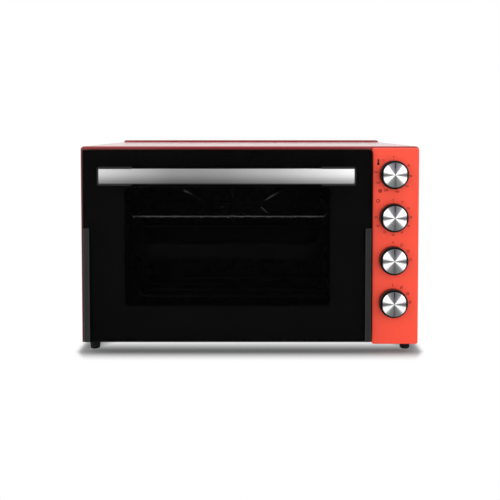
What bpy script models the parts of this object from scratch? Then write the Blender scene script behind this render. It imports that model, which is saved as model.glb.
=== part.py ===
"""A countertop electric oven, made of its separate pieces at their real size.

Lengths are in metres and +Z is up. The front faces -Y, and the origin is on the counter under the
middle of the whole oven. "Depth" is measured back from the front plane of the body's cover.
"""

import math

import bmesh
import bpy
from mathutils import Vector

# Body and general clearances
BODY_WIDTH = 0.590
BODY_HEIGHT = 0.344
BODY_DEPTH = 0.400
GAP = 0.0003
OVERRUN = 0.002

# Outer cover
COVER_WALL = 0.0006
COVER_CORNER_RADIUS = 0.006
COVER_FOLD_RADIUS = 0.0005
COVER_FRONT_RADIUS = 0.003
COVER_RETURN = 0.012
LOUVRE_WIDTH = 0.003
LOUVRE_HEIGHT = 0.030
LOUVRE_PITCH = 0.013
LOUVRE_COUNT = 8
LOUVRE_FIRST_DEPTH = 0.200
LOUVRE_MARGIN = 0.045

# Feet
FOOT_HEIGHT = 0.017
FOOT_RADIUS = 0.0096
FOOT_TAPER = 0.0012
FOOT_EDGE = 0.001
FOOT_SIDE_INSET = 0.0182
FOOT_END_INSET = 0.0238

# Base plate and its vents
BASE_WALL = 0.0006
BASE_RIM = 0.006
VENT_WIDTH = 0.004
VENT_LENGTH = 0.040
VENT_PITCH = 0.014
VENT_COUNT = 9

# Rear panel
REAR_WALL = 0.0006
REAR_LIP = 0.0037
REAR_FLANGE = 0.012
BOSS_DEPTH = 0.004
BOSS_WIDTH = 0.300
BOSS_HEIGHT = 0.190
BOSS_RADIUS = 0.012
REAR_SLOT_HEIGHT = 0.045
REAR_SLOT_PITCH = 0.015
REAR_SLOT_COUNT = 12
REAR_SLOT_ROWS = 2

# Front frame and cavity mouth
FRAME_WALL = 0.0006
FRAME_RADIUS = 0.0045
MOUTH_LEFT_MARGIN = 0.057
MOUTH_RIGHT_MARGIN = 0.050
MOUTH_TOP_MARGIN = 0.036
MOUTH_BOTTOM_MARGIN = 0.045
MOUTH_RADIUS = 0.010
MOUTH_LIP = 0.008

# Cavity liner and its shelf ribs
LINER_WALL = 0.0006
LINER_REAR_SPACE = 0.065
LINER_BEND_RADIUS = 0.012
RIB_REACH = 0.010
RIB_RISE = 0.001
RIB_HEIGHT = 0.008
RIB_SLOPE = 0.006
RIB_FIRST = 0.058
RIB_TOP_MARGIN = 0.0850
RIB_COUNT = 3
RIB_END_MARGIN = 0.012
RIB_END_TAPER = 0.008
PARTITION_WALL = 0.0006
PARTITION_OFFSET = 0.007
PARTITION_FOOT = 0.010

# Heating elements
ELEMENT_RADIUS = 0.00325
ELEMENT_STANDOFF = 0.018
ELEMENT_FIRST_DEPTH = 0.085
ELEMENT_PITCH = 0.052
ELEMENT_LEGS = 4
ELEMENT_SIDE_MARGIN = 0.030
ELEMENT_TAIL = 0.014
ELEMENT_COLLAR_RADIUS = 0.008
ELEMENT_COLLAR_WALL = 0.002

# Wire rack
ROD_RADIUS = 0.0025
WIRE_RADIUS = 0.0014
WIRE_COUNT = 15
RACK_SIDE_CLEARANCE = 0.0035
RACK_FRONT_DEPTH = 0.038
RACK_BACK_CLEARANCE = 0.048
RACK_DROP = 0.010
RACK_DROP_RUN = 0.012
RACK_CORNER_RADIUS = 0.010
RACK_WIRE_OVERHANG = 0.0015
WELD_SHARE = 0.7

# Baking tray
TRAY_WALL = 0.0006
TRAY_HEIGHT = 0.030
TRAY_SLOPE = 0.010
TRAY_RADIUS = 0.035
TRAY_SIDE_CLEARANCE = 0.003
TRAY_FRONT_DEPTH = 0.045
TRAY_BACK_CLEARANCE = 0.050

# Fan behind the cavity's back wall
FAN_HEIGHT_SHARE = 0.6
FAN_RADIUS = 0.052
FAN_HUB_RADIUS = 0.009
FAN_DISC_WALL = 0.001
FAN_BLADE_WALL = 0.001
FAN_BLADE_DEPTH = 0.013
FAN_BLADE_INNER_RADIUS = 0.021
FAN_BLADE_COUNT = 8
FAN_BLADE_TILT = 25.0
FAN_WALL_CLEARANCE = 0.004
FAN_SHAFT_RADIUS = 0.003
FAN_SHAFT_NOSE = 0.003
FAN_COVER_WIDTH = 0.122
FAN_COVER_RADIUS = 0.020
FAN_COVER_DEPTH = 0.027
FAN_COVER_WALL = 0.001
GRILLE_INNER_RADIUS = 0.015
GRILLE_OUTER_RADIUS = 0.044
GRILLE_SLOT_WIDTH = 0.006
GRILLE_SLOT_COUNT = 12
MOTOR_FLANGE_WALL = 0.0015
MOTOR_FLANGE_HALF = 0.034
MOTOR_NECK_RADIUS = 0.011
MOTOR_NECK_DEPTH = 0.010
MOTOR_STACK_HALF = 0.028
MOTOR_STACK_DEPTH = 0.022
MOTOR_CAP_RADIUS = 0.016
MOTOR_CAP_DEPTH = 0.008

# Control panel
PANEL_WIDTH = 0.0803
PANEL_DEPTH = 0.012
PANEL_WALL = 0.0025
PANEL_SIDE_INSET = 0.0028
PANEL_TOP_INSET = 0.0027
PANEL_CORNER_RADIUS = 0.004
PANEL_EDGE_RADIUS = 0.002

# Controls, knobs and their shafts
KNOB_RIGHT_MARGIN = 0.0445
KNOB_TOP_MARGIN = 0.0456
KNOB_BOTTOM_MARGIN = 0.0735
KNOB_COUNT = 4
KNOB_RADIUS = 0.0247
KNOB_SKIRT = 0.0115
KNOB_LENGTH = 0.0155
KNOB_WALL = 0.002
KNOB_WEB = 0.0014
KNOB_EDGE = 0.001
KNOB_PANEL_CLEARANCE = 0.001
KNOB_BOSS_RADIUS = 0.0065
GRIP_RADIUS = 0.0223
GRIP_WAIST = 0.0208
GRIP_CURVE_RADIUS = 0.045
CAP_INSET = 0.0011
CAP_WALL = 0.0020
CAP_DOME = 0.0007
CAP_BEVEL_SHARE = 0.25
POINTER_WIDTH = 0.0016
POINTER_LENGTH = 0.0110
POINTER_DEPTH = 0.0006
SHAFT_RADIUS = 0.003
SHAFT_FLAT = 0.0022
SHAFT_IN_CONTROL = 0.010
SHAFT_CAP_CLEARANCE = 0.004
NECK_RADIUS = 0.0047
NECK_PANEL_CLEARANCE = 0.0015
THERMOSTAT_HALF = 0.021
THERMOSTAT_DEPTH = 0.026
TIMER_RADIUS = 0.025
TIMER_DEPTH = 0.032
TIMER_BELL_RADIUS = 0.020
TIMER_BELL_DEPTH = 0.012
SWITCH_HALF = 0.017
SWITCH_DEPTH = 0.028
SWITCH_STEP = 0.003

# Door
DOOR_SIDE_INSET = 0.0082
DOOR_PANEL_GAP = 0.0019
DOOR_TOP_INSET = 0.0054
DOOR_BOTTOM_LIFT = 0.0065
DOOR_STANDOFF = 0.004
DOOR_GLASS_WALL = 0.004
DOOR_GLASS_RADIUS = 0.003
INNER_FRAME_WALL = 0.0008
INNER_FRAME_DEPTH = 0.0137
INNER_FRAME_SIDE_INSET = 0.0033
INNER_FRAME_BOTTOM_INSET = 0.0012
INNER_FRAME_RADIUS = 0.003
WINDOW_SIDE_MARGIN = 0.071
WINDOW_BOTTOM_MARGIN = 0.0620
WINDOW_TOP_MARGIN = 0.0652
WINDOW_RADIUS = 0.008
INNER_GLASS_WALL = 0.003
INNER_GLASS_OVERLAP = 0.012
STRIP_INSET = 0.0018
STRIP_WIDTH = 0.0096
STRIP_LENGTH = 0.1965
STRIP_WALL = 0.003
STRIP_EDGE = 0.0008
STRIP_BOTTOM_INSET = 0.0012

# Door hinges
HINGE_RISE = 0.0070
HINGE_SETBACK = 0.009
HINGE_LUG_INSET = 0.017
HINGE_LUG_WALL = 0.003
HINGE_LUG_RADIUS = 0.0045
HINGE_PIN_RADIUS = 0.0023
HINGE_PIN_HEAD_RADIUS = 0.0040
HINGE_PIN_HEAD_WALL = 0.0012
HINGE_PIN_END = 0.003
HINGE_NOTCH_CLEARANCE = 0.0015
HINGE_NOTCH_RISE = 0.006
HINGE_PLATE_HALF = 0.011
HINGE_PLATE_HEIGHT = 0.026
HINGE_PLATE_WALL = 0.0015
SPRING_WIRE_RADIUS = 0.0006
SPRING_CLEARANCE = 0.0005
SPRING_TURNS = 4
SPRING_LENGTH_SHARE = 0.75

# Door handle
HANDLE_SIDE_MARGIN = 0.0358
HANDLE_TOP_MARGIN = 0.0305
HANDLE_HEIGHT = 0.0256
HANDLE_WALL = 0.009
HANDLE_EDGE = 0.002
HANDLE_FINGER_GAP = 0.026
HANDLE_END_EDGE = 0.0006
BRACKET_LENGTH = 0.058
BRACKET_WALL = 0.0025
BRACKET_BACK = 0.003
BRACKET_RECESS = 0.0012
BRACKET_RADIUS = 0.003
BRACKET_NECK_SHARE = 0.45
BRACKET_NECK_HEIGHT = 0.018
BRACKET_NECK_DEPTH = 0.014

# Supply inlet
GLAND_RADIUS = 0.010
GLAND_BORE_RADIUS = 0.0042
GLAND_WAIST_RADIUS = 0.0078
GLAND_FLANGE = 0.0025
GLAND_SIDE_INSET = 0.045
GLAND_RISE = 0.030
TERMINAL_LENGTH = 0.040
TERMINAL_WIDTH = 0.018
TERMINAL_HEIGHT = 0.014
TERMINAL_BACK_INSET = 0.040
TERMINAL_WELL_RADIUS = 0.003
TERMINAL_WELL_DEPTH = 0.006
TERMINAL_WELLS = 3
TERMINAL_EDGE = 0.001

# Facet counts, and the angle over which an edge is shaded sharp
SHARP_ANGLE = 35.0
CORNER_STEPS = 3
TURN_STEPS = 6
ROUND_SIDES = 16
KNOB_SIDES = 28
FAN_SIDES = 24
SMALL_SIDES = 12
TUBE_SIDES = 8
WIRE_SIDES = 6
COIL_STEPS = 8

# Places worked out from the sizes above
BODY_BOTTOM = FOOT_HEIGHT
BODY_TOP = BODY_BOTTOM + BODY_HEIGHT
BODY_HALF = BODY_WIDTH / 2
DOOR_BACK = -DOOR_STANDOFF
INNER_FRAME_FRONT = DOOR_BACK - INNER_FRAME_DEPTH
DOOR_GLASS_BACK = INNER_FRAME_FRONT - GAP
DOOR_GLASS_FRONT = DOOR_GLASS_BACK - DOOR_GLASS_WALL
HANDLE_BACK = DOOR_GLASS_FRONT - HANDLE_FINGER_GAP
HANDLE_FRONT = HANDLE_BACK - HANDLE_WALL
REAR_BACK = BODY_DEPTH + GAP + REAR_WALL
BOSS_BACK = REAR_BACK + BOSS_DEPTH
FRONT_Y = -(BOSS_BACK - HANDLE_FRONT) / 2 - HANDLE_FRONT

FRAME_FRONT = COVER_WALL + GAP
FRAME_BACK = FRAME_FRONT + FRAME_WALL
INSIDE_FRONT = FRAME_BACK + GAP
INSIDE_BACK = BODY_DEPTH - REAR_FLANGE - GAP
INSIDE_HALF = BODY_HALF - COVER_WALL - GAP
INSIDE_TOP = BODY_TOP - COVER_WALL - GAP
FLOOR_TOP = BODY_BOTTOM + BASE_WALL

PANEL_RIGHT = BODY_HALF - PANEL_SIDE_INSET
PANEL_LEFT = PANEL_RIGHT - PANEL_WIDTH
PANEL_TOP = BODY_TOP - PANEL_TOP_INSET
PANEL_FRONT = -GAP - PANEL_DEPTH
PANEL_INSIDE = PANEL_FRONT + PANEL_WALL

DOOR_LEFT = -BODY_HALF + DOOR_SIDE_INSET
DOOR_RIGHT = PANEL_LEFT - DOOR_PANEL_GAP
DOOR_BOTTOM = BODY_BOTTOM + DOOR_BOTTOM_LIFT
DOOR_TOP = BODY_TOP - DOOR_TOP_INSET
DOOR_CENTRE = (DOOR_LEFT + DOOR_RIGHT) / 2
DOOR_HALF = (DOOR_RIGHT - DOOR_LEFT) / 2

MOUTH_LEFT = -BODY_HALF + MOUTH_LEFT_MARGIN
MOUTH_RIGHT = DOOR_RIGHT - MOUTH_RIGHT_MARGIN
MOUTH_BOTTOM = BODY_BOTTOM + MOUTH_BOTTOM_MARGIN
MOUTH_TOP = BODY_TOP - MOUTH_TOP_MARGIN
LINER_LEFT = MOUTH_LEFT - FRAME_WALL - GAP
LINER_RIGHT = MOUTH_RIGHT + FRAME_WALL + GAP
LINER_FLOOR = MOUTH_BOTTOM - FRAME_WALL - GAP
LINER_ROOF = MOUTH_TOP + FRAME_WALL + GAP
LINER_BACK = BODY_DEPTH - LINER_REAR_SPACE
CAVITY_CENTRE = (LINER_LEFT + LINER_RIGHT) / 2

HINGE_DEPTH = DOOR_BACK - HINGE_SETBACK
HINGE_HEIGHT = DOOR_BOTTOM + HINGE_RISE
HINGE_HOLE_RADIUS = HINGE_PIN_RADIUS + GAP
INNER_FRAME_HALF = DOOR_HALF - INNER_FRAME_SIDE_INSET

KNOB_X = PANEL_RIGHT - KNOB_RIGHT_MARGIN
KNOB_BACK = PANEL_FRONT - KNOB_PANEL_CLEARANCE
KNOB_FRONT = KNOB_BACK - KNOB_LENGTH
CAP_BACK = KNOB_FRONT + CAP_WALL
NECK_FRONT = PANEL_INSIDE + NECK_PANEL_CLEARANCE
SHAFT_BORE_RADIUS = SHAFT_RADIUS + GAP
SHAFT_BORE_FLAT = SHAFT_FLAT + GAP
SHAFT_FRONT = CAP_BACK + SHAFT_CAP_CLEARANCE
SHAFT_BACK = INSIDE_FRONT + SHAFT_IN_CONTROL

FAN_X = CAVITY_CENTRE
FAN_Z = LINER_FLOOR + (LINER_ROOF - LINER_FLOOR) * FAN_HEIGHT_SHARE
FAN_BACK = LINER_BACK - FAN_WALL_CLEARANCE
FAN_FRONT = FAN_BACK - FAN_DISC_WALL - FAN_BLADE_DEPTH
MOTOR_FRONT = LINER_BACK + LINER_WALL + GAP

RIB_STEP = (LINER_ROOF - RIB_TOP_MARGIN - LINER_FLOOR - RIB_FIRST) / (RIB_COUNT - 1)
RIB_TOPS = [LINER_FLOOR + RIB_FIRST + RIB_STEP * level for level in range(RIB_COUNT)]
RACK_RIB_TOP = RIB_TOPS[-1]
TRAY_RIB_TOP = RIB_TOPS[-2]

RED = (0.80, 0.045, 0.030)
BLACK = (0.012, 0.012, 0.013)
STEEL = (0.55, 0.55, 0.56)
ENAMEL = (0.030, 0.030, 0.033)
ZINC = (0.45, 0.46, 0.47)
COPPER = (0.50, 0.26, 0.14)


def clear_scene():
    for obj in list(bpy.data.objects):
        bpy.data.objects.remove(obj, do_unlink=True)


def make_material(name, colour, roughness, metallic=0.0):
    material = bpy.data.materials.new(name)
    material.use_nodes = True
    shader = material.node_tree.nodes["Principled BSDF"]
    shader.inputs["Base Color"].default_value = (*colour, 1.0)
    shader.inputs["Roughness"].default_value = roughness
    shader.inputs["Metallic"].default_value = metallic
    material.diffuse_color = (*colour, 1.0)
    return material


def make_empty(name, location):
    """An empty on a joint's axis, which carries the pieces that move about it."""
    empty = bpy.data.objects.new(name, None)
    empty.location = location
    bpy.context.scene.collection.objects.link(empty)
    return empty


def finish(name, bm, material, carrier=None):
    """Turns a bmesh in world coordinates into an object, with its origin on its carrier's axis."""
    origin = Vector(carrier.location) if carrier else Vector()
    bmesh.ops.translate(bm, vec=-origin, verts=bm.verts)
    bmesh.ops.recalc_face_normals(bm, faces=bm.faces)
    mesh = bpy.data.meshes.new(name)
    bm.to_mesh(mesh)
    bm.free()
    obj = bpy.data.objects.new(name, mesh)
    bpy.context.scene.collection.objects.link(obj)
    obj.parent = carrier
    mesh.shade_smooth()
    mesh.set_sharp_from_angle(angle=math.radians(SHARP_ANGLE))
    if material:
        mesh.materials.append(material)
    return obj


def boolean(obj, operation, helper):
    """Joins a hidden helper solid to an object, or cuts it away."""
    helper.hide_render = True
    helper.display_type = "WIRE"
    modifier = obj.modifiers.new(helper.name, "BOOLEAN")
    modifier.operation = operation
    modifier.object = helper


def front_point(across, up, depth):
    return (across, FRONT_Y + depth, up)


def top_point(across, depth, up):
    return (across, FRONT_Y + depth, up)


def side_point(depth, up, across):
    return (across, FRONT_Y + depth, up)


def ring(outline, level, place=front_point):
    return [place(u, v, level) for u, v in outline]


def arc(centre_u, centre_v, radius, start, end, steps=CORNER_STEPS):
    """Points on an arc, with its angles in degrees."""
    angles = [math.radians(start + (end - start) * i / steps) for i in range(steps + 1)]
    return [(centre_u + radius * math.cos(a), centre_v + radius * math.sin(a)) for a in angles]


def rounded_box(left, right, low, high, radius, steps=CORNER_STEPS):
    """The outline of a rectangle with round corners."""
    return [
        *arc(right - radius, low + radius, radius, -90, 0, steps),
        *arc(right - radius, high - radius, radius, 0, 90, steps),
        *arc(left + radius, high - radius, radius, 90, 180, steps),
        *arc(left + radius, low + radius, radius, 180, 270, steps),
    ]


def box(left, right, low, high):
    return [(right, low), (right, high), (left, high), (left, low)]


def circle(centre_u, centre_v, radius, sides=ROUND_SIDES):
    return polar(centre_u, centre_v, lambda angle: radius, sides)


def polar(centre_u, centre_v, reach, sides):
    """An outline whose distance from its centre is a function of the angle."""
    angles = [2 * math.pi * i / sides for i in range(sides)]
    return [
        (centre_u + reach(a) * math.cos(a), centre_v + reach(a) * math.sin(a)) for a in angles
    ]


def square(half):
    """The reach of a square, for polar()."""
    return lambda angle: half / max(abs(math.cos(angle)), abs(math.sin(angle)))


def constant(radius):
    return lambda angle: radius


def flatted(radius, flat):
    """The reach of a round with one flat at its top."""
    return lambda angle: min(radius, flat / math.sin(angle)) if math.sin(angle) > 0 else radius


def bridge(bm, first, second):
    for i in range(len(first)):
        j = (i + 1) % len(first)
        bm.faces.new((first[i], first[j], second[j], second[i]))


def loop_edges(bm, loop):
    edges = []
    for i in range(len(loop)):
        pair = (loop[i], loop[(i + 1) % len(loop)])
        edges.append(bm.edges.get(pair) or bm.edges.new(pair))
    return edges


def loft(rings, holes=(), closed=False):
    """A solid through rings of equally many points.

    Its first and last rings are capped, or joined to each other if it is closed. Each hole is a
    list of rings too, from the first cap to the last.
    """
    bm = bmesh.new()
    tubes = [[[bm.verts.new(point) for point in loop] for loop in tube] for tube in (rings, *holes)]
    for tube in tubes:
        for first, second in zip(tube, tube[1:]):
            bridge(bm, first, second)
    if closed:
        bridge(bm, tubes[0][-1], tubes[0][0])
        return bm
    for end in (0, -1):
        edges = [edge for tube in tubes for edge in loop_edges(bm, tube[end])]
        if holes:
            bmesh.ops.triangle_fill(bm, edges=edges, use_beauty=True)
        else:
            bm.faces.new(tubes[0][end])
    return bm


def plate(outline, near, far, holes=(), place=front_point):
    """A flat sheet between two levels, with holes of the given outlines."""
    through = [[ring(hole, near, place), ring(hole, far, place)] for hole in holes]
    return loft([ring(outline, near, place), ring(outline, far, place)], through)


def turned(profile, centre_u, centre_v, place=front_point, sides=ROUND_SIDES):
    """A solid about an axis. Each entry of the profile is a reach and a level along the axis."""
    outlines = [(polar(centre_u, centre_v, reach, sides), level) for reach, level in profile]
    return loft([ring(outline, level, place) for outline, level in outlines])


def strip(path, wall):
    """The closed outline of a sheet of one thickness that follows a path, on the path's right."""
    points = [Vector(point) for point in path]
    steps = [(b - a).normalized() for a, b in zip(points, points[1:])]
    offset = []
    for i, point in enumerate(points):
        before = steps[max(i - 1, 0)]
        after = steps[min(i, len(steps) - 1)]
        middle = (before + after).normalized()
        right = Vector((middle.y, -middle.x))
        offset.append(point + right * wall / middle.dot(before))
    return [tuple(point) for point in points + offset[::-1]]


def tube(path, radius, sides, closed=False):
    """A round bar along a path that is nowhere upright."""
    points = [Vector(point) for point in path]
    count = len(points)
    rings = []
    for i, point in enumerate(points):
        before = points[i - 1] if closed or i else point
        after = points[(i + 1) % count] if closed or i < count - 1 else point
        along = (after - before).normalized()
        across = along.cross(Vector((0, 0, 1))).normalized()
        up = across.cross(along)
        turns = [2 * math.pi * (k + 0.5) / sides for k in range(sides)]
        rings.append([point + radius * (across * math.cos(t) + up * math.sin(t)) for t in turns])
    return loft(rings, closed=closed)


def join(target, extra):
    """Adds the faces of one bmesh to another."""
    mesh = bpy.data.meshes.new("joined")
    extra.to_mesh(mesh)
    extra.free()
    target.from_mesh(mesh)
    bpy.data.meshes.remove(mesh)


def block(low, high):
    """A plain box between two corners given as across, depth and up."""
    outline = box(low[0], high[0], low[2], high[2])
    return plate(outline, low[1], high[1])


def blocks(corners):
    bm = bmesh.new()
    for low, high in corners:
        join(bm, block(low, high))
    return bm


def row(centre, pitch, count):
    return [centre + pitch * (i - (count - 1) / 2) for i in range(count)]


def arch(inset):
    """The cover's outline seen from the front, from one lower edge over the top to the other."""
    half = BODY_HALF - inset
    top = BODY_TOP - inset
    radius = max(COVER_CORNER_RADIUS - inset, COVER_FOLD_RADIUS)
    return [
        (-half, BODY_BOTTOM),
        *arc(-half + radius, top - radius, radius, 180, 90),
        *arc(half - radius, top - radius, radius, 90, 0),
        (half, BODY_BOTTOM),
    ]


def build_outer_cover(paint):
    """One folded sheet over the top and both sides, with its front edges rolled inwards."""
    fold = COVER_FRONT_RADIUS
    section = [
        (0, BODY_DEPTH),
        *arc(fold, fold, fold, 180, 270),
        (COVER_RETURN, 0),
        (COVER_RETURN, COVER_WALL),
        *arc(fold, fold, fold - COVER_WALL, 270, 180),
        (COVER_WALL, BODY_DEPTH),
    ]
    outlines = [ring(arch(inset), depth) for inset, depth in section]
    obj = finish("outer_cover", loft(list(zip(*outlines))), paint)
    slots = []
    for side in (-1, 1):
        inner = side * (BODY_HALF - COVER_WALL - OVERRUN)
        outer = side * (BODY_HALF + OVERRUN)
        for low in (BODY_BOTTOM + LOUVRE_MARGIN, BODY_TOP - LOUVRE_MARGIN - LOUVRE_HEIGHT):
            for i in range(LOUVRE_COUNT):
                depth = LOUVRE_FIRST_DEPTH + LOUVRE_PITCH * i
                slots.append(
                    (
                        (min(inner, outer), depth, low),
                        (max(inner, outer), depth + LOUVRE_WIDTH, low + LOUVRE_HEIGHT),
                    )
                )
    boolean(obj, "DIFFERENCE", finish("louvre_cutter", blocks(slots), None))


def build_base_plate(metal):
    """A shallow pan that closes the underside, with two rows of vents."""
    front = COVER_FRONT_RADIUS
    outlines = [
        box(-INSIDE_HALF + i, INSIDE_HALF - i, front + i, INSIDE_BACK - i) for i in (0, BASE_WALL)
    ]
    rim = BODY_BOTTOM + BASE_RIM
    rings = [
        ring(outlines[0], BODY_BOTTOM, top_point),
        ring(outlines[0], rim, top_point),
        ring(outlines[1], rim, top_point),
        ring(outlines[1], FLOOR_TOP, top_point),
    ]
    middle = (front + INSIDE_BACK) / 2
    holes = []
    for x in row(CAVITY_CENTRE, VENT_PITCH, VENT_COUNT):
        for start in (middle - VENT_LENGTH - VENT_PITCH / 2, middle + VENT_PITCH / 2):
            slot = box(x - VENT_WIDTH / 2, x + VENT_WIDTH / 2, start, start + VENT_LENGTH)
            holes.append([ring(slot, BODY_BOTTOM, top_point), ring(slot, FLOOR_TOP, top_point)])
    finish("base_plate", loft(rings, holes), metal)


def build_rear_panel(paint):
    """The back sheet: an upstanding top edge, a flange into the cover and a raised vented middle."""
    top = BODY_TOP + REAR_LIP
    flange_back = BODY_DEPTH + GAP
    flange_front = BODY_DEPTH - REAR_FLANGE
    radius = COVER_CORNER_RADIUS

    def flange(inset):
        half = INSIDE_HALF - inset
        return rounded_box(-half, half, BODY_BOTTOM + GAP + inset, INSIDE_TOP - inset, FRAME_RADIUS)

    def boss(inset):
        half = BOSS_WIDTH / 2 - inset
        low = FAN_Z - BOSS_HEIGHT / 2 + inset
        high = FAN_Z + BOSS_HEIGHT / 2 - inset
        return rounded_box(CAVITY_CENTRE - half, CAVITY_CENTRE + half, low, high, BOSS_RADIUS - inset)

    sheet = rounded_box(-BODY_HALF, BODY_HALF, BODY_BOTTOM, top, radius)
    rings = [
        ring(boss(BOSS_DEPTH), BOSS_BACK),
        ring(boss(0), REAR_BACK),
        ring(sheet, REAR_BACK),
        ring(sheet, flange_back),
        ring(flange(0), flange_back),
        ring(flange(0), flange_front),
        ring(flange(REAR_WALL), flange_front),
        ring(flange(REAR_WALL), flange_back),
        ring(boss(REAR_WALL), flange_back),
        ring(boss(BOSS_DEPTH + REAR_WALL), BOSS_BACK - REAR_WALL),
    ]
    holes = []
    for x in row(CAVITY_CENTRE, REAR_SLOT_PITCH, REAR_SLOT_COUNT):
        for z in row(FAN_Z, REAR_SLOT_HEIGHT + REAR_SLOT_PITCH, REAR_SLOT_ROWS):
            half = REAR_SLOT_HEIGHT / 2
            slot = box(x - VENT_WIDTH / 2, x + VENT_WIDTH / 2, z - half, z + half)
            holes.append([ring(slot, BOSS_BACK), ring(slot, BOSS_BACK - REAR_WALL)])
    obj = finish("rear_panel", loft(rings, holes), paint)
    hole = turned(
        [
            (constant(GLAND_WAIST_RADIUS + GAP), flange_back - OVERRUN),
            (constant(GLAND_WAIST_RADIUS + GAP), REAR_BACK + OVERRUN),
        ],
        *gland_place(),
    )
    boolean(obj, "DIFFERENCE", finish("gland_cutter", hole, None))


def gland_place():
    return (BODY_HALF - GLAND_SIDE_INSET, BODY_BOTTOM + GLAND_RISE)


def knob_heights():
    first = PANEL_TOP - KNOB_TOP_MARGIN
    last = BODY_BOTTOM + KNOB_BOTTOM_MARGIN
    return [first + (last - first) * i / (KNOB_COUNT - 1) for i in range(KNOB_COUNT)]


def hinge_places():
    """The middle of each hinge lug, with the sign that points from the door's middle to it."""
    reach = INNER_FRAME_HALF - HINGE_LUG_INSET
    return [("left", -1, DOOR_CENTRE - reach), ("right", 1, DOOR_CENTRE + reach)]


def build_front_frame(enamel):
    """The sheet behind the door and the panel, turned back round the cavity's mouth."""
    half = BODY_HALF - COVER_FRONT_RADIUS
    top = BODY_TOP - COVER_FRONT_RADIUS
    outline = rounded_box(-half, half, BODY_BOTTOM, top, FRAME_RADIUS)

    def mouth(grow):
        return rounded_box(
            MOUTH_LEFT - grow,
            MOUTH_RIGHT + grow,
            MOUTH_BOTTOM - grow,
            MOUTH_TOP + grow,
            MOUTH_RADIUS + grow,
        )

    lip_end = FRAME_FRONT + MOUTH_LIP
    holes = [
        [
            ring(mouth(0), FRAME_FRONT),
            ring(mouth(0), lip_end),
            ring(mouth(FRAME_WALL), lip_end),
            ring(mouth(FRAME_WALL), FRAME_BACK),
        ]
    ]
    for z in knob_heights():
        hole = circle(KNOB_X, z, NECK_RADIUS + GAP)
        holes.append([ring(hole, FRAME_FRONT), ring(hole, FRAME_BACK)])
    for _, _, x in hinge_places():
        side = HINGE_LUG_WALL / 2 + GAP
        reach = HINGE_LUG_RADIUS + GAP
        slot = box(x - side, x + side, HINGE_HEIGHT - reach, HINGE_HEIGHT + reach)
        holes.append([ring(slot, FRAME_FRONT), ring(slot, FRAME_BACK)])
    rings = [ring(outline, FRAME_FRONT), ring(outline, FRAME_BACK)]
    finish("front_frame", loft(rings, holes), enamel)


def element_heights():
    return {
        "upper_heating_element": LINER_ROOF - ELEMENT_STANDOFF,
        "lower_heating_element": LINER_FLOOR + ELEMENT_STANDOFF,
    }


def element_depths():
    return [ELEMENT_FIRST_DEPTH + ELEMENT_PITCH * i for i in range(ELEMENT_LEGS)]


def build_liner_wrap(enamel):
    """Floor, back and roof of the cavity in one bent sheet."""
    bend = LINER_BEND_RADIUS
    path = [
        (INSIDE_FRONT, LINER_FLOOR),
        *arc(LINER_BACK - bend, LINER_FLOOR + bend, bend, -90, 0),
        *arc(LINER_BACK - bend, LINER_ROOF - bend, bend, 0, 90),
        (INSIDE_FRONT, LINER_ROOF),
    ]
    outline = strip(path, LINER_WALL)
    rings = [ring(outline, x, side_point) for x in (LINER_LEFT + GAP, LINER_RIGHT - GAP)]
    obj = finish("liner_wrap", loft(rings), enamel)
    reach = constant(FAN_SHAFT_RADIUS + OVERRUN)
    hole = turned([(reach, FAN_BACK), (reach, MOTOR_FRONT + OVERRUN)], FAN_X, FAN_Z)
    boolean(obj, "DIFFERENCE", finish("fan_hole_cutter", hole, None))


def build_liner_side(name, wall_x, sign, enamel):
    """A side of the cavity, with ribs pressed inwards to carry the shelves."""
    outer_back = LINER_BACK + LINER_WALL
    stations = [
        (INSIDE_FRONT, 0),
        (FRAME_FRONT + MOUTH_LIP + GAP, 0),
        (FRAME_FRONT + MOUTH_LIP + RIB_END_TAPER, 1),
        (LINER_BACK - RIB_END_MARGIN - RIB_END_TAPER, 1),
        (LINER_BACK - RIB_END_MARGIN, 0),
        (outer_back, 0),
    ]
    rings = []
    for depth, share in stations:
        path = [(wall_x, LINER_FLOOR - LINER_WALL)]
        for top in RIB_TOPS:
            reach = wall_x + sign * RIB_REACH * share
            path += [
                (wall_x, top - RIB_HEIGHT - RIB_SLOPE),
                (reach, top - RIB_HEIGHT),
                (reach, top),
                (wall_x, top + RIB_RISE),
            ]
        path.append((wall_x, LINER_ROOF + LINER_WALL))
        rings.append(ring(strip(path, -sign * LINER_WALL), depth))
    obj = finish(name, loft(rings), enamel)
    if sign > 0:
        return
    cutters = bmesh.new()
    for z in element_heights().values():
        for depth in (element_depths()[0], element_depths()[-1]):
            reach = constant(ELEMENT_RADIUS + GAP)
            ends = [(reach, wall_x - OVERRUN), (reach, wall_x + LINER_WALL + OVERRUN)]
            join(cutters, turned(ends, depth, z, side_point))
    boolean(obj, "DIFFERENCE", finish("element_hole_cutter", cutters, None))


def build_partition(metal):
    """The upright sheet that keeps the cavity's heat from the controls."""
    left = PANEL_LEFT - PARTITION_OFFSET
    right = left + PARTITION_WALL
    low = FLOOR_TOP + GAP
    outline = [
        (left, low),
        (right + PARTITION_FOOT, low),
        (right + PARTITION_FOOT, low + PARTITION_WALL),
        (right, low + PARTITION_WALL),
        (right, INSIDE_TOP - GAP),
        (left, INSIDE_TOP - GAP),
    ]
    inner_front = COVER_FRONT_RADIUS + BASE_WALL + GAP
    inner_back = INSIDE_BACK - BASE_WALL - GAP
    finish("partition_wall", plate(outline, inner_front, inner_back), metal)


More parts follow.
